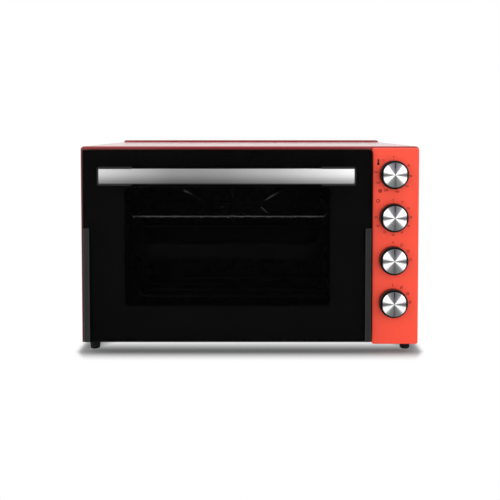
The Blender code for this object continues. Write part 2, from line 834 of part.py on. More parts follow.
def build_heating_element(name, z, metal):
    """A rod bent to and fro, whose two ends pass out through the cavity's right side."""
    depths = element_depths()
    turn = ELEMENT_PITCH / 2
    left = LINER_LEFT + ELEMENT_SIDE_MARGIN + turn
    right = LINER_RIGHT - ELEMENT_SIDE_MARGIN - turn
    end = LINER_RIGHT + ELEMENT_TAIL
    path = [(end, depths[0])]
    for i, depth in enumerate(depths[:-1]):
        if i % 2 == 0:
            path += arc(left, depth + turn, turn, -90, -270, TURN_STEPS)
        else:
            path += arc(right, depth + turn, turn, -90, 90, TURN_STEPS)
    path.append((end, depths[-1]))
    bar = tube(ring(path, z, top_point), ELEMENT_RADIUS, TUBE_SIDES)
    obj = finish(name, bar, metal)
    collars = bmesh.new()
    near = LINER_RIGHT + LINER_WALL + GAP
    for depth in (depths[0], depths[-1]):
        reach = constant(ELEMENT_COLLAR_RADIUS)
        ends = [(reach, near), (reach, near + ELEMENT_COLLAR_WALL)]
        join(collars, turned(ends, depth, z, side_point, TUBE_SIDES))
    boolean(obj, "UNION", finish(name + "_collars", collars, None))


def rack_seat(reach):
    """The height of the highest ribs' upper side, that far from the cavity's wall."""
    return RACK_RIB_TOP + RIB_RISE * (1 - reach / RIB_REACH)


def build_wire_rack(metal):
    """A rod frame whose ends are raised onto the ribs, with wires welded across it."""
    inset = RACK_SIDE_CLEARANCE + ROD_RADIUS
    left = LINER_LEFT + inset
    right = LINER_RIGHT - inset
    high = rack_seat(inset) + GAP + ROD_RADIUS
    low = high - RACK_DROP
    near = RACK_FRONT_DEPTH
    far = LINER_BACK - RACK_BACK_CLEARANCE
    bend = RACK_CORNER_RADIUS
    inner = bend + RACK_DROP_RUN
    corners = [
        [(u, v, high) for u, v in arc(left + bend, near + bend, bend, 180, 270)],
        [(left + inner, near, low), (right - inner, near, low)],
        [(u, v, high) for u, v in arc(right - bend, near + bend, bend, 270, 360)],
        [(u, v, high) for u, v in arc(right - bend, far - bend, bend, 0, 90)],
        [(right - inner, far, low), (left + inner, far, low)],
        [(u, v, high) for u, v in arc(left + bend, far - bend, bend, 90, 180)],
    ]
    path = [top_point(*point) for corner in corners for point in corner]
    obj = finish("wire_rack", tube(path, ROD_RADIUS, TUBE_SIDES, closed=True), metal)
    wires = bmesh.new()
    level = low + (ROD_RADIUS + WIRE_RADIUS) * WELD_SHARE
    pitch = (right - left - 2 * (inner + ROD_RADIUS)) / (WIRE_COUNT - 1)
    for x in row(CAVITY_CENTRE, pitch, WIRE_COUNT):
        ends = [(x, near - RACK_WIRE_OVERHANG, level), (x, far + RACK_WIRE_OVERHANG, level)]
        join(wires, tube([top_point(*end) for end in ends], WIRE_RADIUS, WIRE_SIDES))
    boolean(obj, "UNION", finish("rack_wires", wires, None))


def build_baking_tray(enamel):
    """A drawn tray that hangs by its flat rim on a pair of ribs."""
    left = LINER_LEFT + TRAY_SIDE_CLEARANCE
    right = LINER_RIGHT - TRAY_SIDE_CLEARANCE
    near = TRAY_FRONT_DEPTH
    far = LINER_BACK - TRAY_BACK_CLEARANCE
    under_rim = TRAY_RIB_TOP + RIB_RISE + GAP
    rim_top = under_rim + TRAY_WALL
    bottom = under_rim - TRAY_HEIGHT
    side = RIB_REACH + TRAY_WALL
    foot = side + TRAY_SLOPE

    def outline(inset):
        return rounded_box(left + inset, right - inset, near + inset, far - inset, TRAY_RADIUS)

    rings = [
        ring(outline(foot), bottom, top_point),
        ring(outline(side), under_rim, top_point),
        ring(outline(0), under_rim, top_point),
        ring(outline(0), rim_top, top_point),
        ring(outline(side + TRAY_WALL), rim_top, top_point),
        ring(outline(foot + TRAY_WALL), bottom + TRAY_WALL, top_point),
    ]
    finish("baking_tray", loft(rings), enamel)


def build_fan(carrier, metal):
    """The blower wheel: a disc with its blades turned forwards, on a shaft from the motor."""
    disc_front = FAN_BACK - FAN_DISC_WALL
    bore = constant(FAN_SHAFT_RADIUS + GAP)
    hub = constant(FAN_HUB_RADIUS)
    rim = constant(FAN_RADIUS)
    rings = [
        (bore, FAN_BACK),
        (rim, FAN_BACK),
        (rim, disc_front),
        (hub, disc_front),
        (hub, FAN_FRONT),
        (bore, FAN_FRONT),
    ]
    outlines = [ring(polar(FAN_X, FAN_Z, reach, FAN_SIDES), level) for reach, level in rings]
    wheel = finish("fan_blade", loft(outlines, closed=True), metal, carrier)
    blades = bmesh.new()
    tilt = math.radians(FAN_BLADE_TILT)
    for i in range(FAN_BLADE_COUNT):
        angle = 2 * math.pi * i / FAN_BLADE_COUNT
        along = Vector((math.cos(angle + tilt), math.sin(angle + tilt)))
        across = Vector((-along.y, along.x)) * FAN_BLADE_WALL / 2
        out = Vector((math.cos(angle), math.sin(angle)))
        root = Vector((FAN_X, FAN_Z)) + out * FAN_BLADE_INNER_RADIUS
        tip = root + along * (FAN_RADIUS - FAN_BLADE_INNER_RADIUS)
        corners = [root - across, tip - across, tip + across, root + across]
        join(blades, plate([tuple(c) for c in corners], FAN_FRONT, FAN_BACK - FAN_DISC_WALL / 2))
    boolean(wheel, "UNION", finish("fan_blades", blades, None))
    reach = constant(FAN_SHAFT_RADIUS)
    ends = [(reach, FAN_FRONT - FAN_SHAFT_NOSE), (reach, MOTOR_FRONT + MOTOR_NECK_DEPTH - GAP)]
    finish("fan_shaft", turned(ends, FAN_X, FAN_Z), metal, carrier)


def build_fan_cover(metal):
    """A pressed guard in front of the blower wheel, with slots like the spokes of a wheel."""
    half = FAN_COVER_WIDTH / 2
    back = LINER_BACK - GAP
    face = back - FAN_COVER_DEPTH

    def outline(inset):
        reach = half - inset
        return rounded_box(
            FAN_X - reach, FAN_X + reach, FAN_Z - reach, FAN_Z + reach, FAN_COVER_RADIUS - inset
        )

    wall = FAN_COVER_WALL
    rings = [
        ring(outline(wall), face),
        ring(outline(0), face + wall),
        ring(outline(0), back),
        ring(outline(wall), back),
        ring(outline(wall), face + wall),
    ]
    holes = []
    half_slot = GRILLE_SLOT_WIDTH / 2
    for i in range(GRILLE_SLOT_COUNT):
        angle = 2 * math.pi * i / GRILLE_SLOT_COUNT
        turn = Vector((math.cos(angle), math.sin(angle)))
        side = Vector((-turn.y, turn.x)) * half_slot
        inner = Vector((FAN_X, FAN_Z)) + turn * GRILLE_INNER_RADIUS
        outer = Vector((FAN_X, FAN_Z)) + turn * GRILLE_OUTER_RADIUS
        nose = turn * half_slot
        slot = [inner - side, outer - side, outer + nose, outer + side, inner + side, inner - nose]
        slot = [tuple(point) for point in slot]
        holes.append([ring(slot, face), ring(slot, face + wall)])
    finish("fan_cover", loft(rings, holes), metal)


def build_fan_motor(metal):
    """The motor behind the back wall: mounting flange, neck, laminated stack and end cap."""
    bore = constant(FAN_SHAFT_RADIUS + GAP)
    neck_back = MOTOR_FRONT + MOTOR_NECK_DEPTH
    stack_back = neck_back + MOTOR_STACK_DEPTH
    flange_back = MOTOR_FRONT + MOTOR_FLANGE_WALL
    profile = [
        (bore, neck_back),
        (bore, MOTOR_FRONT),
        (square(MOTOR_FLANGE_HALF), MOTOR_FRONT),
        (square(MOTOR_FLANGE_HALF), flange_back),
        (constant(MOTOR_NECK_RADIUS), flange_back),
        (constant(MOTOR_NECK_RADIUS), neck_back),
        (square(MOTOR_STACK_HALF), neck_back),
        (square(MOTOR_STACK_HALF), stack_back),
        (constant(MOTOR_CAP_RADIUS), stack_back),
        (constant(MOTOR_CAP_RADIUS), stack_back + MOTOR_CAP_DEPTH),
    ]
    finish("fan_motor", turned(profile, FAN_X, FAN_Z), metal)


def build_control_panel(paint):
    """The raised red fascia beside the door, open at the back, with a hole for each control."""
    edge = PANEL_EDGE_RADIUS

    def outline(inset):
        radius = max(PANEL_CORNER_RADIUS - inset, COVER_FOLD_RADIUS)
        return rounded_box(
            PANEL_LEFT + inset, PANEL_RIGHT - inset, BODY_BOTTOM + inset, PANEL_TOP - inset, radius
        )

    rounding = arc(edge, PANEL_FRONT + edge, edge, 270, 180)
    rings = [ring(outline(inset), depth) for inset, depth in rounding]
    rings += [
        ring(outline(0), -GAP),
        ring(outline(PANEL_WALL), -GAP),
        ring(outline(PANEL_WALL), PANEL_INSIDE),
    ]
    holes = []
    for z in knob_heights():
        hole = circle(KNOB_X, z, NECK_RADIUS + GAP)
        holes.append([ring(hole, PANEL_FRONT), ring(hole, PANEL_INSIDE)])
    finish("control_panel", loft(rings, holes), paint)


def control_profile(body):
    """A control's profile: its blind bore, threaded neck, then the housing's own profile."""
    bore = constant(SHAFT_RADIUS + GAP)
    neck = constant(NECK_RADIUS)
    return [
        (bore, SHAFT_BACK + GAP),
        (bore, NECK_FRONT),
        (neck, NECK_FRONT),
        (neck, INSIDE_FRONT),
        *body,
    ]


def build_controls(metal, plastic):
    heights = knob_heights()
    thermostat_back = INSIDE_FRONT + THERMOSTAT_DEPTH
    timer_back = INSIDE_FRONT + TIMER_DEPTH
    switch_back = INSIDE_FRONT + SWITCH_DEPTH
    thermostat = [
        (square(THERMOSTAT_HALF), INSIDE_FRONT),
        (square(THERMOSTAT_HALF), thermostat_back),
        (constant(THERMOSTAT_HALF / 2), thermostat_back),
        (constant(THERMOSTAT_HALF / 2), thermostat_back + SWITCH_STEP),
    ]
    timer = [
        (constant(TIMER_RADIUS), INSIDE_FRONT),
        (constant(TIMER_RADIUS), timer_back),
        (constant(TIMER_BELL_RADIUS), timer_back),
        (constant(TIMER_BELL_RADIUS), timer_back + TIMER_BELL_DEPTH / 2),
        (constant(TIMER_BELL_RADIUS / 2), timer_back + TIMER_BELL_DEPTH),
    ]
    switch = [
        (square(SWITCH_HALF), INSIDE_FRONT),
        (square(SWITCH_HALF), switch_back - SWITCH_STEP),
        (square(SWITCH_HALF - SWITCH_STEP), switch_back),
    ]
    controls = [
        ("thermostat", thermostat, metal),
        ("timer", timer, metal),
        ("function_switch", switch, plastic),
        ("fan_switch", switch, plastic),
    ]
    for (name, body, material), z in zip(controls, heights):
        finish(name, turned(control_profile(body), KNOB_X, z), material)


def grip(radius, waist):
    """The reach of a round grip hollowed on its left and right by one large arc each."""

    def reach(angle):
        across = abs(math.cos(angle))
        centre = waist + GRIP_CURVE_RADIUS
        inside = centre * centre * across * across - centre * centre + GRIP_CURVE_RADIUS**2
        hollow = centre * across - math.sqrt(inside) if inside > 0 else radius
        return min(radius, hollow)

    return reach


def build_knob(name, z, carrier, plastic, metal, steel):
    """A control's knob with its metal face, and the flatted shaft that it turns."""
    grip_back = KNOB_BACK - KNOB_SKIRT
    cavity = CAP_BACK + KNOB_WEB
    boss = constant(KNOB_BOSS_RADIUS)
    bore = flatted(SHAFT_BORE_RADIUS, SHAFT_BORE_FLAT)
    grip_inner = grip(GRIP_RADIUS - KNOB_WALL, GRIP_WAIST - KNOB_WALL)
    boss_end = KNOB_BACK - KNOB_EDGE
    body = [
        (grip(GRIP_RADIUS, GRIP_WAIST), CAP_BACK - GAP),
        (grip(GRIP_RADIUS, GRIP_WAIST), grip_back + KNOB_EDGE),
        (constant(KNOB_RADIUS - KNOB_EDGE), grip_back),
        (constant(KNOB_RADIUS), grip_back + KNOB_EDGE),
        (constant(KNOB_RADIUS), KNOB_BACK),
        (constant(KNOB_RADIUS - KNOB_WALL), KNOB_BACK),
        (grip_inner, grip_back + KNOB_WALL),
        (grip_inner, cavity),
        (boss, cavity),
        (boss, boss_end),
        (bore, boss_end),
        (bore, SHAFT_FRONT - GAP),
    ]
    finish(name + "_knob", turned(body, KNOB_X, z, sides=KNOB_SIDES), plastic, carrier)
    face = grip(GRIP_RADIUS - CAP_INSET, GRIP_WAIST - CAP_INSET)
    middle = grip((GRIP_RADIUS - CAP_INSET) / 2, (GRIP_WAIST - CAP_INSET) / 2)
    bevel = grip(GRIP_RADIUS - 2 * CAP_INSET, GRIP_WAIST - 2 * CAP_INSET)
    cap = [
        (face, CAP_BACK - 2 * GAP),
        (face, KNOB_FRONT + CAP_DOME),
        (bevel, KNOB_FRONT + CAP_DOME * CAP_BEVEL_SHARE),
        (middle, KNOB_FRONT),
    ]
    obj = finish(name + "_knob_cap", turned(cap, KNOB_X, z, sides=KNOB_SIDES), metal, carrier)
    pointer_top = z + GRIP_RADIUS + OVERRUN
    pointer = block(
        (KNOB_X - POINTER_WIDTH / 2, KNOB_FRONT - OVERRUN, z + GRIP_RADIUS - POINTER_LENGTH),
        (KNOB_X + POINTER_WIDTH / 2, KNOB_FRONT + POINTER_DEPTH, pointer_top),
    )
    boolean(obj, "DIFFERENCE", finish(name + "_pointer_cutter", pointer, None, carrier))
    shaft = flatted(SHAFT_RADIUS, SHAFT_FLAT)
    round_shaft = constant(SHAFT_RADIUS)
    ends = [
        (shaft, SHAFT_FRONT),
        (shaft, boss_end + GAP),
        (round_shaft, boss_end + GAP),
        (round_shaft, SHAFT_BACK),
    ]
    finish(name + "_shaft", turned(ends, KNOB_X, z, sides=SMALL_SIDES), steel, carrier)


def door_outline(inset, radius):
    return rounded_box(
        DOOR_LEFT + inset, DOOR_RIGHT - inset, DOOR_BOTTOM + inset, DOOR_TOP - inset, radius
    )


def window(grow):
    return rounded_box(
        DOOR_LEFT + WINDOW_SIDE_MARGIN - grow,
        DOOR_RIGHT - WINDOW_SIDE_MARGIN + grow,
        DOOR_BOTTOM + WINDOW_BOTTOM_MARGIN - grow,
        DOOR_TOP - WINDOW_TOP_MARGIN + grow,
        WINDOW_RADIUS,
    )


def build_door_glass(carrier, glass):
    outline = door_outline(0, DOOR_GLASS_RADIUS)
    finish("door_glass", plate(outline, DOOR_GLASS_FRONT, DOOR_GLASS_BACK), glass, carrier)


def build_door_inner_frame(carrier, enamel):
    """The pan behind the glass: a window in its face, pin holes in its sides, notches for the lugs."""

    def outline(inset):
        return rounded_box(
            DOOR_CENTRE - INNER_FRAME_HALF + inset,
            DOOR_CENTRE + INNER_FRAME_HALF - inset,
            DOOR_BOTTOM + INNER_FRAME_BOTTOM_INSET + inset,
            DOOR_TOP - INNER_FRAME_SIDE_INSET - inset,
            INNER_FRAME_RADIUS - inset,
        )

    wall = INNER_FRAME_WALL
    face = DOOR_BACK - wall
    rings = [
        ring(outline(0), DOOR_BACK),
        ring(outline(0), INNER_FRAME_FRONT),
        ring(outline(wall), INNER_FRAME_FRONT),
        ring(outline(wall), face),
    ]
    opening = [[ring(window(0), DOOR_BACK), ring(window(0), face)]]
    obj = finish("door_inner_frame", loft(rings, opening), enamel, carrier)
    cutters = bmesh.new()
    for _, sign, x in hinge_places():
        half = HINGE_LUG_WALL / 2 + HINGE_NOTCH_CLEARANCE
        low = (x - half, INNER_FRAME_FRONT - OVERRUN, DOOR_BOTTOM - OVERRUN)
        high = (x + half, DOOR_BACK + OVERRUN, HINGE_HEIGHT + HINGE_NOTCH_RISE)
        join(cutters, block(low, high))
        side = DOOR_CENTRE + sign * INNER_FRAME_HALF
        levels = sorted((side + sign * OVERRUN, side - sign * (wall + OVERRUN)))
        reach = constant(HINGE_HOLE_RADIUS)
        ends = [(reach, level) for level in levels]
        join(cutters, turned(ends, HINGE_DEPTH, HINGE_HEIGHT, side_point))
    boolean(obj, "DIFFERENCE", finish("door_frame_cutter", cutters, None, carrier))


def build_door_inner_glass(carrier, glass):
    back = DOOR_BACK - INNER_FRAME_WALL - GAP
    outline = window(INNER_GLASS_OVERLAP)
    finish("door_inner_glass", plate(outline, back - INNER_GLASS_WALL, back), glass, carrier)


def build_side_strips(carrier, plastic):
    """The trim up the lower part of the door's two side edges."""
    for name, sign in (("left", -1), ("right", 1)):
        outer = DOOR_CENTRE + sign * (DOOR_HALF - STRIP_INSET)
        inner = outer - sign * STRIP_WIDTH
        back = DOOR_GLASS_FRONT - GAP
        low = DOOR_BOTTOM + STRIP_BOTTOM_INSET
        high = low + STRIP_LENGTH
        left, right = sorted((inner, outer))

        def outline(inset):
            return box(left + inset, right - inset, low + inset, high - inset)

        rings = [
            ring(outline(0), back),
            ring(outline(0), back - STRIP_WALL + STRIP_EDGE),
            ring(outline(STRIP_EDGE), back - STRIP_WALL),
        ]
        finish("door_side_profile_" + name, loft(rings), plastic, carrier)


def build_handle(carrier, metal, plastic):
    """A flat bar whose ends lie in the trays of two brackets on the glass."""
    left = DOOR_LEFT + HANDLE_SIDE_MARGIN
    right = DOOR_RIGHT - HANDLE_SIDE_MARGIN
    top = DOOR_TOP - HANDLE_TOP_MARGIN
    bottom = top - HANDLE_HEIGHT

    def section(inset):
        front = HANDLE_FRONT + inset
        return rounded_box(front, HANDLE_BACK - inset, bottom + inset, top - inset, HANDLE_EDGE)

    ends = [
        (HANDLE_END_EDGE, left),
        (0, left + HANDLE_END_EDGE),
        (0, right - HANDLE_END_EDGE),
        (HANDLE_END_EDGE, right),
    ]
    rings = [ring(section(inset), x, side_point) for inset, x in ends]
    finish("door_handle", loft(rings), metal, carrier)
    middle = (top + bottom) / 2
    reach = HANDLE_HEIGHT / 2 + GAP + BRACKET_WALL
    tray_back = HANDLE_BACK + GAP + BRACKET_BACK
    for name, sign, end in (("left", -1, left), ("right", 1, right)):
        outer = end + sign * (GAP + BRACKET_WALL)
        inner = outer - sign * BRACKET_LENGTH
        centre = (outer + inner) / 2

        def tray(inset):
            half = BRACKET_LENGTH / 2 - inset
            return rounded_box(
                centre - half,
                centre + half,
                middle - reach + inset,
                middle + reach - inset,
                BRACKET_RADIUS - inset,
            )

        neck_half = BRACKET_LENGTH * BRACKET_NECK_SHARE / 2
        neck = rounded_box(
            centre - neck_half,
            centre + neck_half,
            middle - BRACKET_NECK_HEIGHT / 2,
            middle + BRACKET_NECK_HEIGHT / 2,
            BRACKET_RADIUS,
        )
        seat = DOOR_GLASS_FRONT - GAP
        rings = [
            ring(neck, seat),
            ring(neck, seat - BRACKET_NECK_DEPTH),
            ring(tray(HANDLE_EDGE), tray_back),
            ring(tray(0), tray_back - BRACKET_BACK),
            ring(tray(0), HANDLE_FRONT + BRACKET_RECESS),
        ]
        obj = finish("handle_bracket_" + name, loft(rings), plastic, carrier)
        pocket_end = end + sign * GAP
        pocket_open = inner - sign * OVERRUN
        pocket = block(
            (min(pocket_end, pocket_open), HANDLE_FRONT - OVERRUN, bottom - GAP),
            (max(pocket_end, pocket_open), HANDLE_BACK + GAP, top + GAP),
        )
        cutter = finish("handle_pocket_cutter_" + name, pocket, None, carrier)
        boolean(obj, "DIFFERENCE", cutter)


def build_hinges(carrier, steel):
    """For each side: a lug fixed behind the front frame, and a sprung pin that the door carries."""
    for name, sign, x in hinge_places():
        half = HINGE_LUG_WALL / 2
        plate_front = INSIDE_FRONT
        plate_back = plate_front + HINGE_PLATE_WALL
        lug = [
            *arc(HINGE_DEPTH, HINGE_HEIGHT, HINGE_LUG_RADIUS, 90, 270, TURN_STEPS),
            (plate_back, HINGE_HEIGHT - HINGE_LUG_RADIUS),
            (plate_back, HINGE_HEIGHT + HINGE_LUG_RADIUS),
        ]
        hole = circle(HINGE_DEPTH, HINGE_HEIGHT, HINGE_HOLE_RADIUS)
        bm = plate(lug, x - half, x + half, [hole], side_point)
        obj = finish("hinge_bracket_" + name, bm, steel)
        low = BODY_BOTTOM + BASE_RIM + GAP
        foot = block(
            (x - HINGE_PLATE_HALF, plate_front, low),
            (x + HINGE_PLATE_HALF, plate_back, low + HINGE_PLATE_HEIGHT),
        )
        boolean(obj, "UNION", finish("hinge_plate_" + name, foot, None))

        outside = DOOR_CENTRE + sign * (INNER_FRAME_HALF + GAP)
        inside = x - sign * (half + HINGE_PIN_END)
        head = constant(HINGE_PIN_HEAD_RADIUS)
        shank = constant(HINGE_PIN_RADIUS)
        profile = [
            (head, outside + sign * HINGE_PIN_HEAD_WALL),
            (head, outside),
            (shank, outside),
            (shank, inside),
        ]
        bm = turned(profile, HINGE_DEPTH, HINGE_HEIGHT, side_point, SMALL_SIDES)
        finish("hinge_pin_" + name, bm, steel, carrier)

        room = outside - sign * (GAP + INNER_FRAME_WALL)
        middle = (room + x + sign * half) / 2
        length = abs(room - x - sign * half) * SPRING_LENGTH_SHARE
        coil(name, middle, length, carrier, steel)


def least_gap(centres, steps, radius):
    """The least clear distance between points of a coil that are half a turn or more apart."""
    apart = steps // 2
    pairs = [(a, b) for i, a in enumerate(centres) for b in centres[i + apart :]]
    return min((a - b).length for a, b in pairs) - 2 * radius


def coil(name, middle, length, carrier, steel):
    """The spring wound round a hinge pin."""
    mean = HINGE_PIN_RADIUS + SPRING_CLEARANCE + SPRING_WIRE_RADIUS
    steps = SPRING_TURNS * COIL_STEPS
    rings = []
    centres = []
    for i in range(steps + 1):
        angle = 2 * math.pi * SPRING_TURNS * i / steps
        x = middle - length / 2 + length * i / steps
        out = Vector((0, math.cos(angle), math.sin(angle)))
        centre = Vector(side_point(HINGE_DEPTH, HINGE_HEIGHT, x)) + out * mean
        turns = [2 * math.pi * k / WIRE_SIDES for k in range(WIRE_SIDES)]
        side = Vector((1, 0, 0))
        rings.append(
            [centre + SPRING_WIRE_RADIUS * (out * math.cos(t) + side * math.sin(t)) for t in turns]
        )
        centres.append(centre)
    gap = least_gap(centres, COIL_STEPS, SPRING_WIRE_RADIUS)
    print(f"hinge_spring_{name}: least gap between turns {gap:.5f} m")
    finish("hinge_spring_" + name, loft(rings), steel, carrier)


def build_feet(rubber):
    x = BODY_HALF - FOOT_SIDE_INSET
    for end, depth in (("front", FOOT_END_INSET), ("rear", BODY_DEPTH - FOOT_END_INSET)):
        for side, sign in (("left", -1), ("right", 1)):
            profile = [
                (constant(FOOT_RADIUS - FOOT_TAPER - FOOT_EDGE), 0),
                (constant(FOOT_RADIUS - FOOT_TAPER), FOOT_EDGE),
                (constant(FOOT_RADIUS), FOOT_HEIGHT - GAP),
            ]
            bm = turned(profile, sign * x, depth, top_point)
            finish(f"foot_{end}_{side}", bm, rubber)


def build_supply_inlet(rubber, plastic):
    """The grommet in the rear panel, and the block that the supply's wires end in."""
    x, z = gland_place()
    inner = BODY_DEPTH + GAP
    waist = constant(GLAND_WAIST_RADIUS)
    flange = constant(GLAND_RADIUS)
    bore = constant(GLAND_BORE_RADIUS)
    profile = [
        (bore, inner - GAP - GLAND_FLANGE),
        (flange, inner - GAP - GLAND_FLANGE),
        (flange, inner - GAP),
        (waist, inner - GAP),
        (waist, REAR_BACK + GAP),
        (flange, REAR_BACK + GAP),
        (flange, REAR_BACK + GAP + GLAND_FLANGE),
        (bore, REAR_BACK + GAP + GLAND_FLANGE),
    ]
    outlines = [ring(polar(x, z, reach, SMALL_SIDES), level) for reach, level in profile]
    finish("cord_gland", loft(outlines, closed=True), rubber)

    low = FLOOR_TOP + GAP
    high = low + TERMINAL_HEIGHT
    back = INSIDE_BACK - TERMINAL_BACK_INSET
    edge = TERMINAL_EDGE
    half = TERMINAL_LENGTH / 2

    def outline(inset):
        return box(x - half + inset, x + half - inset, back - TERMINAL_WIDTH + inset, back - inset)

    rings = [
        ring(outline(0), low, top_point),
        ring(outline(0), high - edge, top_point),
        ring(outline(edge), high, top_point),
    ]
    obj = finish("terminal_block", loft(rings), plastic)
    wells = bmesh.new()
    for centre in row(x, TERMINAL_LENGTH / TERMINAL_WELLS, TERMINAL_WELLS):
        reach = constant(TERMINAL_WELL_RADIUS)
        ends = [(reach, high - TERMINAL_WELL_DEPTH), (reach, high + OVERRUN)]
        join(wells, turned(ends, centre, back - TERMINAL_WIDTH / 2, top_point, TUBE_SIDES))
    boolean(obj, "DIFFERENCE", finish("terminal_well_cutter", wells, None))


def build_housing():
    paint = make_material("red_paint", RED, 0.3)
    enamel = make_material("black_enamel", ENAMEL, 0.35)
    zinc = make_material("zinc_steel", ZINC, 0.45, 1.0)
    rubber = make_material("black_rubber", BLACK, 0.8)
    plastic = make_material("black_plastic", BLACK, 0.5)
    build_outer_cover(paint)
    build_base_plate(zinc)
    build_rear_panel(paint)
    build_front_frame(enamel)
    build_control_panel(make_material("panel_paint", RED, 0.35))
    build_feet(rubber)
    build_partition(zinc)
    build_controls(zinc, plastic)
    build_supply_inlet(rubber, plastic)


def build_cavity():
    enamel = make_material("cavity_enamel", ENAMEL, 0.3)
    steel = make_material("chromed_steel", STEEL, 0.25, 1.0)
    build_liner_wrap(enamel)
    build_liner_side("liner_side_left", LINER_LEFT, 1, enamel)
    build_liner_side("liner_side_right", LINER_RIGHT, -1, enamel)
    sheath = make_material("element_sheath", STEEL, 0.55, 1.0)
    for name, z in element_heights().items():
        build_heating_element(name, z, sheath)
    build_wire_rack(steel)
    build_baking_tray(enamel)
    build_fan_cover(enamel)
    build_fan_motor(make_material("motor_copper", COPPER, 0.5, 1.0))
    build_fan(make_empty("fan_axis", front_point(FAN_X, FAN_Z, FAN_BACK)), steel)


def build_door():
    glass = make_material("black_glass", BLACK, 0.05)
    enamel = make_material("door_enamel", ENAMEL, 0.35)
    plastic = make_material("door_plastic", BLACK, 0.5)
    brushed = make_material("brushed_aluminium", STEEL, 0.3, 1.0)
    steel = make_material("hinge_steel", ZINC, 0.4, 1.0)
    axis = make_empty("door_axis", front_point(DOOR_CENTRE, HINGE_HEIGHT, HINGE_DEPTH))
    build_door_glass(axis, glass)
    build_door_inner_frame(axis, enamel)
    build_door_inner_glass(axis, glass)
    build_side_strips(axis, plastic)
    build_handle(axis, brushed, plastic)
    build_hinges(axis, steel)


def build_knobs():
    plastic = make_material("knob_plastic", BLACK, 0.35)
    spun = make_material("spun_aluminium", STEEL, 0.25, 1.0)
    steel = make_material("shaft_steel", ZINC, 0.4, 1.0)
    names = ("thermostat", "timer", "function", "fan_select")
    for name, z in zip(names, knob_heights()):
        axis = make_empty(name + "_axis", front_point(KNOB_X, z, KNOB_BACK))
        build_knob(name, z, axis, plastic, spun, steel)


def main():
    clear_scene()
    build_housing()
    build_cavity()
    build_door()
    build_knobs()


main()
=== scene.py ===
"""The looks of the countertop oven: camera, floor, lamps, finishes and its smallest pieces."""

import math

import bmesh
import bpy
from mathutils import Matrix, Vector


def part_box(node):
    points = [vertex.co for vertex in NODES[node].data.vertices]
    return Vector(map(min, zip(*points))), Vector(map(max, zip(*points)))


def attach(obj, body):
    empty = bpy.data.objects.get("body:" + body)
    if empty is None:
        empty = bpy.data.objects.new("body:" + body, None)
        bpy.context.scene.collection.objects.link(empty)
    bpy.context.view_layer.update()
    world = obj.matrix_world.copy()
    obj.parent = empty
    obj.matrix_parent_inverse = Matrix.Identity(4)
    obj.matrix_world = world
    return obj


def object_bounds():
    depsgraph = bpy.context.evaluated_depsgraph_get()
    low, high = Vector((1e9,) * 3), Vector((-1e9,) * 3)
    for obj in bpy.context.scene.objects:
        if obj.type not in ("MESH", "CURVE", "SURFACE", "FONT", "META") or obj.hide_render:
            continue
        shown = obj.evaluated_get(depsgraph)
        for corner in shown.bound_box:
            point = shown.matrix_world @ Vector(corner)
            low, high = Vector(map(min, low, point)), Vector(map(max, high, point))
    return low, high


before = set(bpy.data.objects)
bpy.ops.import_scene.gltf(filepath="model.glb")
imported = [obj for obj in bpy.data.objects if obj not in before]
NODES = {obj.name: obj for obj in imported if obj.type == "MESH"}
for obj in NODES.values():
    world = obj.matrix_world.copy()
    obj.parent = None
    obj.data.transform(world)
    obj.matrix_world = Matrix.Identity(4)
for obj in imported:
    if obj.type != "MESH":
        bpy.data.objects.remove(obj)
CAD_LOW, CAD_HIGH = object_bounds()
MM = 0.001
CONTROLS = ("thermostat", "timer", "function", "fan_select")

# Camera: its focal length in pixels of the picture, its place, how far down it looks, its shift
IMAGE_SIZE = 500
SENSOR_WIDTH = 36.0
FOCAL_PIXELS = 691.1
CAMERA_PLACE = (0.0089, -1.3748, 0.3920)
CAMERA_PITCH = 0.0384
CAMERA_SHIFT = (-0.0099, -0.19)

# Lamps: place, width and height, watts
LAMPS = {
    "lamp_left": ((-1.7, -1.8, 0.55), (3.2, 2.8), 18.5),
    "lamp_right": ((1.7, -1.8, 0.55), (3.2, 2.8), 18.5),
    "lamp_top": ((0.0, 0.6, 2.2), (2.0, 1.4), 14.0),
}

# How bright the white around is where it lights the object, and where it is looked at
WORLD_LEVEL = 1.0
WHITE_LEVEL = 1.0

# Floor: half its width, its cells, its grey away from the object, and the darker grey painted near
# it as shadow
FLOOR_HALF = 12.0
FLOOR_CELLS = 8
FLOOR_GREY = (0.62, 0.62, 0.62)
PAINTED_SHADOW_GREY = (0.42, 0.42, 0.42)

# Shadow, real and painted: how far it shows beside the cover and past its ends, how much it narrows
# past them, and how far in under the cover the floor is plain white again, which paints out the
# shade there
SHADOW_REACH = (0.015, 0.053, 1.0)
SHADOW_SLANT_SHARE = 0.4
SHADOW_DEPTH = 0.074

# Colours, linear
COVER_RED = (0.300, 0.010, 0.011)
PANEL_RED = (0.985, 0.078, 0.039)
PRINT_RED = (0.075, 0.006, 0.005)
ENAMEL_BLACK = (0.006, 0.006, 0.0065)
CAVITY_BLACK = (0.0060, 0.0060, 0.0065)
TRAY_GREY = (0.016, 0.016, 0.017)
PLASTIC_BLACK = (0.005, 0.005, 0.0055)
TRIM_GREY = (0.017, 0.018, 0.018)
RUBBER_BLACK = (0.010, 0.010, 0.011)
BORDER_BLACK = (0.0075, 0.0075, 0.0075)
GLASS_TINT = (0.0010, 0.0010, 0.0010)
GLASS_CLEAR = (0.0020, 0.0020, 0.0020)
# The rims' painted glints, and the dark metal beside them
RIM_BRIGHT = 0.95
RIM_DARK = 0.02
ZINC = (0.47, 0.48, 0.49)
FAN_DARK = (0.045, 0.044, 0.043)
CHROME = (0.62, 0.62, 0.63)
SHEATH = (0.06, 0.057, 0.055)
COPPER = (0.30, 0.13, 0.06)
SCREW_BRIGHT = (0.35, 0.35, 0.36)
SCREW_DARK = (0.06, 0.06, 0.062)
GASKET_GREY = (0.035, 0.034, 0.033)
ENAMEL_GLOSS = 0.20

